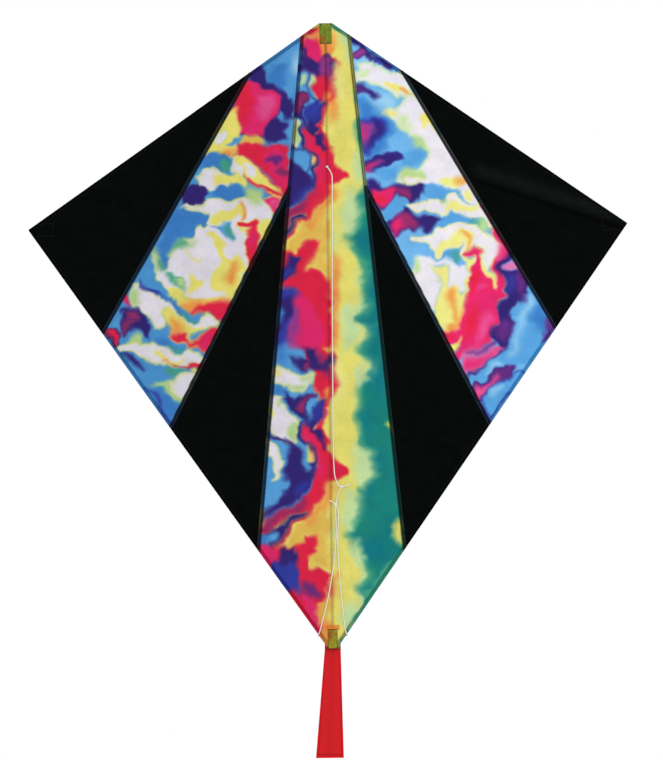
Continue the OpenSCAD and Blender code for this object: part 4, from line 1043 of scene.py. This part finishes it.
lengths = {}
upper, lengths["upper"] = cord_piece("bridle_upper_cord", UPPER + UPPER_TAG, ["bridle_upper_line"])
link, lengths["link"] = cord_piece("bridle_link_cord", [(13.0, -5.7, -317.0)] + LINK + LOWER_TAG, ["bridle_link_line"])
leg_l, lengths["leg_l"] = cord_piece("bridle_leg_left_cord", LEG_L, ["bridle_leg_left"])
leg_r, lengths["leg_r"] = cord_piece("bridle_leg_right_cord", LEG_R, ["bridle_leg_right"])
for name, at, size, tilt, old in (("bridle_upper_overhand_knot", (13, -5.7, -317), 1.75, 0.4, "bridle_upper_knot"),
                                  ("bridle_lower_overhand_knot", (5.6, -5.7, -338.4), 1.75, 1.3, "bridle_lower_knot")):
    v, f = trefoil(at, size, tilt)
    ob = new_object(name, v, f, M_LINE, sharp=None)
    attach(ob, "root"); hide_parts(old)
for name, z0, old in (("bridle_top_hitch", 73.0, "bridle_top_tie"), ("bridle_bottom_hitch", -487.0, "bridle_bottom_tie")):
    v, f = wraps(z0, True)
    ob = new_object(name, v, f, M_LINE, sharp=None)
    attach(ob, "root"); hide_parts(old)

# ---------------------------------------------------------------- sail panels
def seam_lift(part, x, z):
    """the upper cloth of a lapped seam stands proud, the lower one lies behind it"""
    ax = np.abs(x)
    dA = line_side(A_TOP, A_LOW, ax, z)      # positive outside the centre panel
    dB = line_side(B_TOP, B_LOW, ax, z)
    dI = line_side(I_TOP, I_LOW, ax, z)
    y = np.zeros_like(ax)
    sA, sB, sI = np.sign(outA), np.sign(outB), np.sign(inI)
    if part == "centre":
        y -= 0.17 * step(-4.6, -2.6, dA * sA)
    if part == "print":
        y += 0.17 * step(-4.6, -2.6, -dA * sA)
        y -= 0.17 * step(-4.6, -2.6, dB * sB)
        y -= 0.17 * step(-4.6, -2.6, dI * sI) * step(1.0, 5.0, dA * sA)
    if part == "tip":
        y += 0.17 * step(-4.6, -2.6, -dB * sB)
    if part == "gore":
        y += 0.17 * step(-4.6, -2.6, -dA * sA)
        y += 0.17 * step(-4.6, -2.6, -dI * sI)
    return y


# which sign of each seam's line distance means: outside the centre panel, outside the print panel at B, into the gore at I
outA = line_side(A_TOP, A_LOW, 120.0, 0.0)
outB = line_side(B_TOP, B_LOW, 330.0, 0.0)
inI = line_side(I_TOP, I_LOW, 100.0, -250.0)

LAP = 2.2
POLY = {
    "centre": ([(0, NOSE_Z), (0, -BOTTOM_Z), (FLAT_X, -BOTTOM_Z), (LOW_X, TRAIL_Z), A_LOW, A_TOP, (NOSE_X, NOSE_Z)],
               [0, 0, 0, 0, LAP, 0, 0]),
    "print": ([A_TOP, I_TOP, I_LOW, B_LOW, B_TOP], [LAP, LAP, 0, LAP, 0]),
    "tip": ([B_TOP, B_LOW, (HALF, 0)], [LAP, 0, 0]),
    "gore": ([I_TOP, A_LOW, I_LOW], [LAP, 0, LAP]),
}
HOLE_Z, HOLE_R = 73.0, 2.2
SIDES = (("left", -1.0), ("right", 1.0))


def wing_blend(ob):
    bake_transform(ob)


FINE = 1.25
tri_cache = {}
for part, (poly, out) in POLY.items():
    if area_of(poly) < 0:
        raise SystemExit("panel outline runs clockwise: " + part)
    big = offset_poly(poly, out)
    if part == "centre":      # the bridle's hole, half of it in each half panel
        arc = [(HOLE_R * math.sin(a), HOLE_Z + HOLE_R * math.cos(a)) for a in np.linspace(0, math.pi, 13)]
        big = [big[0]] + arc + big[1:]
        big[1] = (0.0, big[1][1]); big[13] = (0.0, big[13][1])
    h = FINE if part in ("centre", "print") else FINE * 1.5
    tri_cache[part] = triangulate(big, h)

for side, m in SIDES:
    for part in ("centre", "print", "tip", "gore"):
        v, f = tri_cache[part]

        def mid(x, z, part=part):
            return sheet_mid(x, z) + seam_lift(part, x, z)

        def thick(x, z):
            return np.full(len(x), CLOTH)

        verts, faces, x, z = slab(v, f, mid, thick, m)
        kind = "centre" if part == "centre" else (side if part == "print" else part)
        rgb = np.concatenate([cloth_rgb(x, z, kind), cloth_rgb(x, z, kind, back=True)])
        name = {"centre": "centre_half_%s_cloth", "print": "print_panel_%s_cloth", "tip": "black_tip_%s_cloth", "gore": "black_gore_%s_cloth"}[part] % side
        ob = new_object(name, verts, faces, M_BLACK if part in ("tip", "gore") else M_PRINT, rgb)
        old = {"centre": "centre_panel_", "print": "print_panel_", "tip": "black_tip_", "gore": "black_gore_"}[part] + side
        if part == "centre":
            wing_blend(ob)
            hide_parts(old, *(["centre_panel_middle"] if side == "left" else []))
        else:
            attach(ob, side + "_wing")
            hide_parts(old)


# ---------------------------------------------------------------- hems: the edge folded to the back
def panel_rgb(x, z, side):
    """colour of whatever panel lies at each point of the rim"""
    ax = np.abs(x)
    sA = line_side(A_TOP, A_LOW, ax, z) * np.sign(outA)
    sB = line_side(B_TOP, B_LOW, ax, z) * np.sign(outB)
    sI = line_side(I_TOP, I_LOW, ax, z) * np.sign(inI)
    rgb = np.tile(np.array([0.018, 0.032, 0.024]), (len(x), 1))
    c = sA < 0
    if c.any():
        rgb[c] = print_rgb(x[c], z[c], "centre")
    q = (sA >= 0) & (sB < 0) & (sI < 0)
    if q.any():
        rgb[q] = print_rgb(x[q], z[q], side)
    return rgb


HEM_CUT = [(HEM, 0.16), (HEM - 0.15, 0.44), (3.2, 0.47), (1.9, 0.46), (0.8, 0.48), (0.15, 0.44), (-0.18, 0.28), (-0.26, 0.05),
           (-0.16, -0.15), (0.12, -0.215), (0.55, -0.19), (0.9, -0.12), (0.95, 0.0), (0.6, 0.1), (0.4, 0.155), (2.0, 0.158)]


def hem(name, a, b, side, m, inward, over=0.0):
    a, b = np.array(a, float), np.array(b, float)
    n = int(np.linalg.norm(b - a) / 1.6)
    d = (b - a) / np.linalg.norm(b - a)
    nrm = np.array(inward, float)
    t = np.linspace(0, 1, n + 1)
    room = np.ones(n + 1)
    verts = []
    for u, y in HEM_CUT:
        p = a[None, :] + (b - a)[None, :] * t[:, None] + nrm[None, :] * u * room[:, None]
        x, z = p[:, 0] * m, p[:, 1]
        inner = a[None, :] + (b - a)[None, :] * t[:, None] + nrm[None, :] * max(u, 0.3)
        verts.append(np.stack([x, sheet_mid(inner[:, 0] * m, inner[:, 1]) + y + (0.2 * lap(x, z) + over * step(357.5, 360.5, np.abs(x))) * (y > 0.1), z], 1))
    k = len(HEM_CUT)
    verts = np.stack(verts, 1).reshape(-1, 3)
    faces = []
    for i in range(n):
        for j in range(k):
            l = (j + 1) % k
            faces.append((i * k + j, i * k + l, (i + 1) * k + l, (i + 1) * k + j))
    faces.append(tuple(range(k))[::-1]); faces.append(tuple(n * k + j for j in range(k)))
    rgb = panel_rgb(verts[:, 0], verts[:, 2], side)
    rgb = linear(deepen(rgb, 0.78))
    ob = new_object(name, verts, faces, M_HEM, rgb, sharp=50)
    fixed_normals(ob)
    return ob


ln = np.array([-(NOSE_Z), -(HALF - NOSE_X)]); ln = ln / np.linalg.norm(ln)          # inward from the leading edge, right side
tn = np.array([TRAIL_Z, HALF - LOW_X]); tn = tn / np.linalg.norm(tn)
hems = {}
for side, m in SIDES:
    tip_in = 0.7
    d1 = np.array([HALF - NOSE_X, -NOSE_Z]); d1 = d1 / np.linalg.norm(d1)
    d2 = np.array([HALF - LOW_X, -TRAIL_Z]); d2 = d2 / np.linalg.norm(d2)
    a = np.array([NOSE_X, NOSE_Z]) + d1 * 0.8
    b = np.array([HALF, 0.0]) - d1 * tip_in
    h1 = hem("hem_leading_" + side, a, b, side, m, ln)
    a = np.array([LOW_X, TRAIL_Z]) + d2 * 0.8
    b = np.array([HALF, 0.0]) - d2 * tip_in
    h2 = hem("hem_trailing_" + side, a, b, side, m, tn, over=0.34)
    for h in (h1, h2):
        wing_blend(h)
    hems[side] = (h1, h2)


# ---------------------------------------------------------------- stitching
def stitch_rows(rows, pitch=3.0, long=2.3, wide=0.2):
    """rows: (start, end, y function, face) with face -1 on the front and +1 on the back; returns one mesh's data"""
    rings = [(-0.5, 0.35, -0.02), (-0.28, 1.0, 0.13), (0.28, 1.0, 0.13), (0.5, 0.35, -0.02)]
    th = np.linspace(0, 2 * math.pi, 5, endpoint=False)
    V, F, o = [], [], 0
    for a, b, yf, face in rows:
        a, b = np.array(a, float), np.array(b, float)
        L = np.linalg.norm(b - a)
        if L < pitch:
            continue
        d = (b - a) / L
        s = np.array([-d[1], d[0]])
        cs = np.arange(pitch / 2, L - pitch / 3, pitch)
        for c in cs:
            skew = 0.10 * math.sin(c * 12.9898) 
            dd = d + s * skew
            pts = []
            for u, w, lift in rings:
                p = a + d * c + (dd * u * long)
                for q in th:
                    pts.append((p[0] + s[0] * math.cos(q) * wide * w, face * (lift + math.sin(q) * wide * 0.75 * w), p[1] + s[1] * math.cos(q) * wide * w))
            V.append(pts)
            for i in range(3):
                for k in range(5):
                    l = (k + 1) % 5
                    F.append((o + i * 5 + k, o + i * 5 + l, o + (i + 1) * 5 + l, o + (i + 1) * 5 + k))
            F.append(tuple(o + k for k in range(4, -1, -1))); F.append(tuple(o + 15 + k for k in range(5)))
            o += 20
        blk = np.array(V[-len(cs):]).reshape(-1, 3)
        blk[:, 1] += yf(blk[:, 0], blk[:, 2])
        for i in range(len(cs)):
            V[len(V) - len(cs) + i] = blk[i * 20:(i + 1) * 20]
    return np.concatenate([np.asarray(q) for q in V]), F


def at_face(part, face, extra=0.0):
    def y(x, z):
        return sheet_mid(x, z) + seam_lift(part, x, z) + face * (CLOTH / 2) + extra * face
    return y


def shifted(p, q, off):
    p, q = np.array(p, float), np.array(q, float)
    d = (q - p) / np.linalg.norm(q - p)
    n = np.array([-d[1], d[0]])
    return p + n * off, q + n * off


def flip(p, m):
    return (p[0] * m, p[1])


stitches = {}
for side, m in SIDES:
    rows_wing, rows_fold = [], []
    for (p, q), dest, part, under in (((A_TOP, A_LOW), rows_wing, "centre", "gore"), ((B_TOP, B_LOW), rows_wing, "print", "tip"), ((I_TOP, I_LOW), rows_wing, "print", "gore")):
        for off in (-1.35, 1.35):
            a, b = shifted(p, q, off)
            dest.append((flip(a, m), flip(b, m), at_face(part, -1), -1))
            dest.append((flip(a, m), flip(b, m), at_face(under, 1), 1))
    d1 = np.array([HALF - NOSE_X, -NOSE_Z]); d1 = d1 / np.linalg.norm(d1)
    d2 = np.array([HALF - LOW_X, -TRAIL_Z]); d2 = d2 / np.linalg.norm(d2)
    for base, d, nrm, L in ((np.array([NOSE_X, NOSE_Z]), d1, ln, math.hypot(HALF - NOSE_X, NOSE_Z)), (np.array([LOW_X, TRAIL_Z]), d2, tn, math.hypot(HALF - LOW_X, TRAIL_Z))):
        a = base + nrm * 3.7 + d * 2.0
        b = base + nrm * 3.7 + d * (L - 9.0)
        rows_fold.append((flip(a, m), flip(b, m), lambda x, z: sheet_mid(x, z) - CLOTH / 2 - 0.17 * lap(x, z), -1))
        rows_fold.append((flip(a, m), flip(b, m), lambda x, z: sheet_mid(x, z) + 0.45 + 0.2 * lap(x, z), 1))
    v, f = stitch_rows(rows_wing)
    s1 = new_object("seam_stitching_" + side, v, f, M_THREAD, sharp=None); fixed_normals(s1)
    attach(s1, side + "_wing")
    v, f = stitch_rows(rows_fold)
    s2 = new_object("hem_stitching_" + side, v, f, M_THREAD, sharp=None); fixed_normals(s2)
    wing_blend(s2)
    stitches[side] = (s1, s2)

# ---------------------------------------------------------------- pockets
def pocket(name, us, half, tunnel, top, height, m=1.0, axis="z", closed_at=None, mouth_at=None, clip=None):
    """cloth tunnel sewn to the back of the sail over a rod's end: us runs along the rod"""
    ws = np.linspace(-1, 1, 45)
    n, k = len(us), len(ws)
    grid = np.zeros((n, k, 3))
    for i, u in enumerate(us):
        lo, hi = (-half, half) if clip is None else clip(u)
        e = 1.0
        if closed_at is not None:
            s0, s1 = closed_at
            q = np.clip((u - s0) / (s1 - s0), 0, 1)
            e = (1 - q ** 4) ** 0.5
        w = np.where(ws < 0, ws * -lo, ws * hi)
        tl = min(tunnel, abs(lo) - 0.1, hi - 0.1) if clip is not None else tunnel
        r = np.clip(np.abs(w) / max(tl, 0.5), 0, 1)
        prof = (1 - r ** 4) ** 0.8
        pleat = 0.07 * np.sin(u * 1.9 + w * 0.8) * prof
        base = np.full(k, SHEET_Y + 0.36)
        if axis == "x":      # the flange lies on top of the hems
            base = base + 0.5 * step(HEM + 1.6, HEM - 0.2, edge_in(np.full(k, u), w)[0]) + 0.34 * step(355.0, 358.0, u) * step(-1.5, -3.0, w)
        y = base + (height - base) * prof * e + pleat
        if axis == "z":
            grid[i] = np.stack([w, y, np.full(k, u)], 1)
        else:
            grid[i] = np.stack([np.full(k, u * m), y, w], 1)
    t = 0.36
    inner = grid.copy(); inner[:, :, 1] -= t
    scale = 0.94
    centre_w = inner[:, :, 0 if axis == "z" else 2]
    inside = np.abs(centre_w) < tunnel
    inner[:, :, 0 if axis == "z" else 2] = np.where(inside, centre_w * scale, centre_w)
    inner[:, :, 1] = np.maximum(inner[:, :, 1], SHEET_Y + 0.155)
    V = np.concatenate([grid.reshape(-1, 3), inner.reshape(-1, 3)])
    o = n * k
    F = []
    for i in range(n - 1):
        for j in range(k - 1):
            a, b, c, d = i * k + j, i * k + j + 1, (i + 1) * k + j + 1, (i + 1) * k + j
            F.append((a, b, c, d)); F.append((o + d, o + c, o + b, o + a))
    rim = [i for i in range(k)] + [i * k + k - 1 for i in range(1, n)] + [(n - 1) * k + j for j in range(k - 2, -1, -1)] + [i * k for i in range(n - 2, 0, -1)]
    for q in range(len(rim)):
        a, b = rim[q], rim[(q + 1) % len(rim)]
        F.append((a, o + a, o + b, b))
    ob = new_object(name, V, F, M_POCKET, sharp=55)
    fixed_normals(ob)
    return ob


def pocket_seams(name, rows, mat=None):
    v, f = stitch_rows(rows, pitch=2.2, long=1.6, wide=0.19)
    ob = new_object(name, v, f, mat or M_THREAD, sharp=None)
    return fixed_normals(ob)


back_y = SHEET_Y + 0.36
nose = pocket("nose_pocket_cloth", np.arange(223.4, 247.75, 0.45), 7.3, 3.6, 0, 2.36, closed_at=(243.0, 247.7))
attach(nose, "root"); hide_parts("nose_pocket")
low = pocket("bottom_pocket_cloth", np.arange(-491.5, -513.8, -0.45), 5.4, 3.4, 0, 2.30, closed_at=(-509.0, -513.7))
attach(low, "root"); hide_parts("bottom_pocket")
rows = []
for s in (-1, 1):
    rows += [((s * 6.3, 224.0), (s * 6.3, 247.4), lambda x, z: np.full(len(x), back_y), 1), ((s * 5.5, 224.4), (s * 5.5, 247.0), lambda x, z: np.full(len(x), back_y), 1),
             ((s * 6.9, 224.0), (s * 6.9, 247.4), lambda x, z: np.full(len(x), SHEET_Y - CLOTH / 2), -1),
             ((s * 4.7, -513.4), (s * 4.7, -492.0), lambda x, z: np.full(len(x), back_y), 1),
             ((s * 5.5, -513.4), (s * 5.5, -491.8), lambda x, z: np.full(len(x), SHEET_Y - CLOTH / 2), -1)]
rows += [((-5.4, -491.6), (5.4, -491.6), lambda x, z: np.full(len(x), SHEET_Y - CLOTH / 2), -1),
         ((-6.8, 224.0), (6.8, 224.0), lambda x, z: np.full(len(x), SHEET_Y - CLOTH / 2), -1)]
for s in (-1, 1):      # bar tacks at the four corners of the spine's two pockets
    for k in range(5):
        rows.append(((s * 7.2 - s * 2.2, 247.3 - 0.28 * k), (s * 7.2 + s * 0.2, 247.1 - 0.28 * k), lambda x, z: np.full(len(x), SHEET_Y - CLOTH / 2), -1))
        rows.append(((s * 7.6 - s * 2.4, -513.3 + 0.28 * k), (s * 7.6 + s * 0.1, -513.1 + 0.28 * k), lambda x, z: np.full(len(x), SHEET_Y - CLOTH / 2), -1))
ps = pocket_seams("spine_pocket_stitching", rows)
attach(ps, "root")

for side, m in SIDES:
    def clip(u):
        up = lead_z(u) - 0.9
        dn = -trail_z(u) - 0.9
        return -min(9.0, dn), min(9.0, up)
    ob = pocket("tip_pocket_%s_cloth" % side, np.arange(334.4, 361.3, 0.45), 9.0, 3.5, 0, 2.36, m=m, axis="x", closed_at=(357.5, 361.2), clip=clip)
    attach(ob, side + "_wing"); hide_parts("tip_pocket_" + side)
    rows = []
    for a, b in (((335.2, 7.9), (353.5, 6.3)), ((335.2, -7.9), (358.5, -7.0)), ((335.2, 6.9), (351.5, 5.6)), ((335.2, -6.9), (358.5, -6.0))):
        rows.append((flip(a, m), flip(b, m), lambda x, z: back_y + 0.5 * step(HEM + 1.6, HEM - 0.2, edge_in(x, z)[0]), 1))
    for a, b in (((334.9, 7.9), (353.0, 6.4)), ((334.9, -7.9), (358.0, -7.1)), ((335.0, -7.6), (335.0, 7.6))):
        rows.append((flip(a, m), flip(b, m), lambda x, z: sheet_mid(x, z) - CLOTH / 2, -1))
    st = pocket_seams("tip_pocket_stitching_" + side, rows)
    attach(st, side + "_wing")

# ---------------------------------------------------------------- centre fitting and its arms
def ring_profile(a, b, r_in, r_out, lip=0.5):
    return [(a + lip * 0.3, r_in), (a, r_in + lip * 0.3), (a, r_out - lip), (a + lip * 0.35, r_out - lip * 0.3), (a + lip, r_out),
            (a + 2.0, r_out + 0.12), (a + 2.8, r_out + 0.02)] + [(a + 3.2 + (b - a - 6.4) * q / 8.0, r_out) for q in range(9)] + \
           [(b - 2.8, r_out + 0.02), (b - 2.0, r_out + 0.12), (b - lip, r_out), (b - lip * 0.35, r_out - lip * 0.3), (b, r_out - lip), (b, r_in + lip * 0.3), (b - lip * 0.3, r_in)]


v1, f1 = lathe(ring_profile(-15, 15, 1.52, 3.3), "z", (0, 0, 0), 48)
parts = [(v1, f1)]
for z0 in (-11.5, 11.5):      # moulding ribs round the sleeve
    tq = np.linspace(0, 2 * math.pi, 65)
    v, f, _, _ = tube(np.stack([3.28 * np.cos(tq), 3.28 * np.sin(tq), np.full(65, z0)], 1), 0.32, sides=10, h=0.5, closed=True)
    parts.append((v, f))
v, f = join(parts)
v[:, 1] = np.maximum(v[:, 1], -3.0)
sleeve = new_object("centre_sleeve_vinyl", v, f, M_VINYL, sharp=40); fixed_normals(sleeve)
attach(sleeve, "root"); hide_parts("centre_fitting")
for side, m in SIDES:
    prof = [(2.2, 0.05), (2.2, 4.9), (2.9, 4.6), (3.6, 3.9), (4.6, 3.35), (6.0, 3.08), (8.0, 3.0), (11.0, 2.98), (14.0, 2.9), (15.4, 2.7), (16.3, 2.35), (17.2, 2.2), (18.0, 2.16),
            (18.8, 2.2), (19.6, 2.38), (20.4, 2.72), (21.4, 2.92), (23.0, 3.0)] + [(23 + q * 1.2, 3.0) for q in range(1, 9)] + \
           [(33.4, 3.02), (33.9, 3.14), (35.2, 3.14), (35.7, 3.0), (36.0, 2.7), (36.0, 1.75), (35.8, 1.53), (30.0, 1.53), (22.1, 1.53), (22.05, 0.05)]
    v, f = lathe(prof, "x", (0, 0, 0), 44)
    v[:, 2] *= np.where(np.abs(v[:, 0]) < 6, 1.25, 1.0)
    v[:, 1] = np.clip(v[:, 1], -2.95, 3.3)
    v[:, 0] *= m
    arm = new_object("centre_arm_%s_vinyl" % side, v, f, M_VINYL, sharp=40); fixed_normals(arm)
    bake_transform(arm)
    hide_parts("fitting_arm_" + side)

# ---------------------------------------------------------------- rods and caps keep their CAD shapes
for name, mat in (("spine_rod", M_ROD), ("spar_left", M_ROD_X), ("spar_right", M_ROD_X), ("spine_cap_nose", M_VINYL),
                  ("spine_cap_bottom", M_VINYL), ("spar_cap_left", M_VINYL), ("spar_cap_right", M_VINYL)):
    me = nodes[name].data
    me.materials.clear(); me.materials.append(mat)
    me.polygons.foreach_set("use_smooth", np.ones(len(me.polygons), bool))
    me.set_sharp_from_angle(angle=math.radians(35))

# ---------------------------------------------------------------- tail
zs = np.concatenate([np.arange(-490.5, -520.0, -1.1), np.arange(-520.0, -648.1, -1.3), [-648.1]])
us = np.concatenate([[-1, -0.985, -0.955, -0.9, -0.87], np.linspace(-0.82, 0.82, 25), [0.87, 0.9, 0.955, 0.985, 1]])
U, Z = np.meshgrid(us, zs)
drop = np.clip((-515.1 - Z) / 133.0, 0, 1)
halfw = 9.7 + (17.0 - 9.7) * drop
X = -5.0 * drop + U * halfw
wave = step(-524, -600, Z) * (0.75 * np.sin((Z + 515) / 19.0) + 0.35 * U * np.sin((Z + 515) / 12.0 + 1.0) + 0.2 * np.sin(U * 3.1 + Z / 30.0))
crease = -0.14 * np.exp(-((Z + 577.6 + U * 1.2) / 1.5) ** 2)
Y = 2.7 + wave + crease * step(-520, -560, Z)
edge = step(0.83, 0.89, np.abs(U)) * step(-517, -522, Z)
hemz = step(-643.6, -644.6, Z)
T = 0.34 + 0.42 * np.maximum(edge * (1 - step(0.97, 1.0, np.abs(U)) * 0.6), hemz * (1 - step(-647.0, -648.1, Z) * 0.6))
Yf, Yb = Y - T * 0.5, Y + T * 0.5
n, k = U.shape
V = np.concatenate([np.stack([X, Yf, Z], -1).reshape(-1, 3), np.stack([X, Yb, Z], -1).reshape(-1, 3)])
o = n * k
F = []
for i in range(n - 1):
    for j in range(k - 1):
        a, b, c, d = i * k + j, i * k + j + 1, (i + 1) * k + j + 1, (i + 1) * k + j
        F.append((a, b, c, d)); F.append((o + d, o + c, o + b, o + a))
rim = [j for j in range(k)] + [i * k + k - 1 for i in range(1, n)] + [(n - 1) * k + j for j in range(k - 2, -1, -1)] + [i * k for i in range(n - 2, 0, -1)]
for q in range(len(rim)):
    a, b = rim[q], rim[(q + 1) % len(rim)]
    F.append((a, o + a, o + b, b))
base = np.array([0.845, 0.112, 0.140])
tone = np.tile(base, (n * k, 1))
eU, eZ, uf, zf = edge.ravel(), hemz.ravel(), U.ravel(), Z.ravel()
tone = tone * (1 - 0.05 * np.exp(-(uf / 0.35) ** 2))[:, None]
# darker lines along the hems' inner edges and the bottom hem, and a painted highlight: the crease made lighter on its
# left half
hem_lines_and_crease_highlight = np.exp(-((np.abs(uf) - 0.845) / 0.025) ** 2) * (zf < -518) * 0.25 + np.exp(-((zf + 644.0) / 0.7) ** 2) * 0.22 + np.exp(-((zf + 577.6 - uf * 1.4) / 1.0) ** 2) * step(0.35, -0.1, uf) * -0.07
bright = np.maximum(eU, eZ * 0.8)[:, None]
tone = tone * (1 - bright) + np.array([0.86, 0.055, 0.085]) * bright
tone *= (1 - hem_lines_and_crease_highlight)[:, None]
# painted shade: the ribbon darker in a band where it comes out from behind the sail's bottom edge
shade_below_sail = (step(-512.2, -513.4, zf) * step(-516.6, -515.2, zf) * 0.5)[:, None]
tone = tone * (1 - shade_below_sail) + np.array([0.30, 0.03, 0.06]) * shade_below_sail
tone = linear(tone)
tail = new_object("tail_ribbon_cloth", V, F, M_TAIL, np.concatenate([tone, tone * 0.97]), sharp=50)
fixed_normals(tail)
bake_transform(tail)
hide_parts("tail_ribbon", "tail_tab")
rows = []
for zz, half in ((-493.5, 8.2), (-495.0, 8.2), (-510.5, 8.4)):
    rows.append(((-half, zz), (half, zz), lambda x, z: np.full(len(x), 2.87), 1))
for s in (-1, 1):
    rows.append(((s * 8.4, -493.5), (s * 8.4, -510.5), lambda x, z: np.full(len(x), 2.87), 1))
tab_st = pocket_seams("tail_tab_stitching", rows, M_THREAD_RED)
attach(tab_st, "root")


def tail_y(x, z):
    d = np.clip((-515.1 - z) / 133.0, 0, 1)
    hw = 9.7 + 7.3 * d
    u = (x + 5.0 * d) / hw
    return 2.7 + step(-524, -600, z) * (0.75 * np.sin((z + 515) / 19.0) + 0.35 * u * np.sin((z + 515) / 12.0 + 1.0) + 0.2 * np.sin(u * 3.1 + z / 30.0))


def tail_x(u, z):
    d = (-515.1 - z) / 133.0
    return -5.0 * d + u * (9.7 + 7.3 * d)


rows = []
for s in (-1, 1):
    for face, off in ((-1, -0.2), (1, 0.2)):
        rows.append(((tail_x(s * 0.865, -521.0), -521.0), (tail_x(s * 0.865, -643.0), -643.0), (lambda off: lambda x, z: tail_y(x, z) + off)(off * 1.2), face))
        if s == 1:
            rows.append(((tail_x(-0.86, -644.4), -644.4), (tail_x(0.86, -644.4), -644.4), (lambda off: lambda x, z: tail_y(x, z) + off)(off * 1.7), face))
tail_st = pocket_seams("tail_hem_stitching", rows, M_THREAD_RED)
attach(tail_st, "tail")

# ---------------------------------------------------------------- each side's stitching and hem pieces, looked up only
for side, m in SIDES:
    s1, s2 = stitches[side]
    h1, h2 = hems[side]

# ---------------------------------------------------------------- floor and light
me = bpy.data.meshes.new("floor")
s = 2.2
me.from_pydata([(-s, -s, -1.2), (s, -s, -1.2), (s, s, -1.2), (-s, s, -1.2)], [], [(0, 1, 2, 3)])
floor = bpy.data.objects.new("floor", me)
bpy.context.scene.collection.objects.link(floor)
me.materials.append(smooth_mat("pale_floor", (0.80, 0.80, 0.80), 0.7, spec=0.2, grain=40.0, vary=0.02, bump=0.02))

world = bpy.data.worlds.new("studio") if bpy.context.scene.world is None else bpy.context.scene.world
bpy.context.scene.world = world
world.use_nodes = True
wt = world.node_tree
bg = wt.nodes.get("Background") or wt.nodes.new("ShaderNodeBackground")
wo = next((n for n in wt.nodes if n.type == "OUTPUT_WORLD"), None) or wt.nodes.new("ShaderNodeOutputWorld")
lp = wt.nodes.new("ShaderNodeLightPath")
mr = wt.nodes.new("ShaderNodeMapRange")
mr.inputs["To Min"].default_value, mr.inputs["To Max"].default_value = 0.90, 1.0
wt.links.new(lp.outputs["Is Camera Ray"], mr.inputs["Value"])
wt.links.new(mr.outputs["Result"], bg.inputs["Strength"])
bg.inputs["Color"].default_value = (1, 1, 1, 1)
wt.links.new(bg.outputs["Background"], wo.inputs["Surface"])


def soft_light(name, at, aim, size, power):
    d = bpy.data.lights.new(name, "AREA")
    d.shape = "RECTANGLE"; d.size, d.size_y = size
    d.energy = power
    o = bpy.data.objects.new(name, d)
    bpy.context.scene.collection.objects.link(o)
    o.location = at
    o.rotation_mode = "QUATERNION"
    o.rotation_quaternion = (Vector(aim) - Vector(at)).to_track_quat("-Z", "Y")
    return o


soft_light("key", (1.7, -2.3, 1.3), (0.05, 0, -0.15), (1.6, 1.6), 16.0)
soft_light("back_fill", (-1.5, 2.4, 0.9), (0, 0, -0.15), (1.8, 1.8), 14.0)

bpy.context.scene.view_settings.view_transform = "Standard"
bpy.context.scene.view_settings.look = "None"
bpy.context.scene.view_settings.exposure = 0.0
bpy.context.scene.view_settings.gamma = 1.0

print("cord lengths mm", {k: round(v, 1) for k, v in lengths.items()})
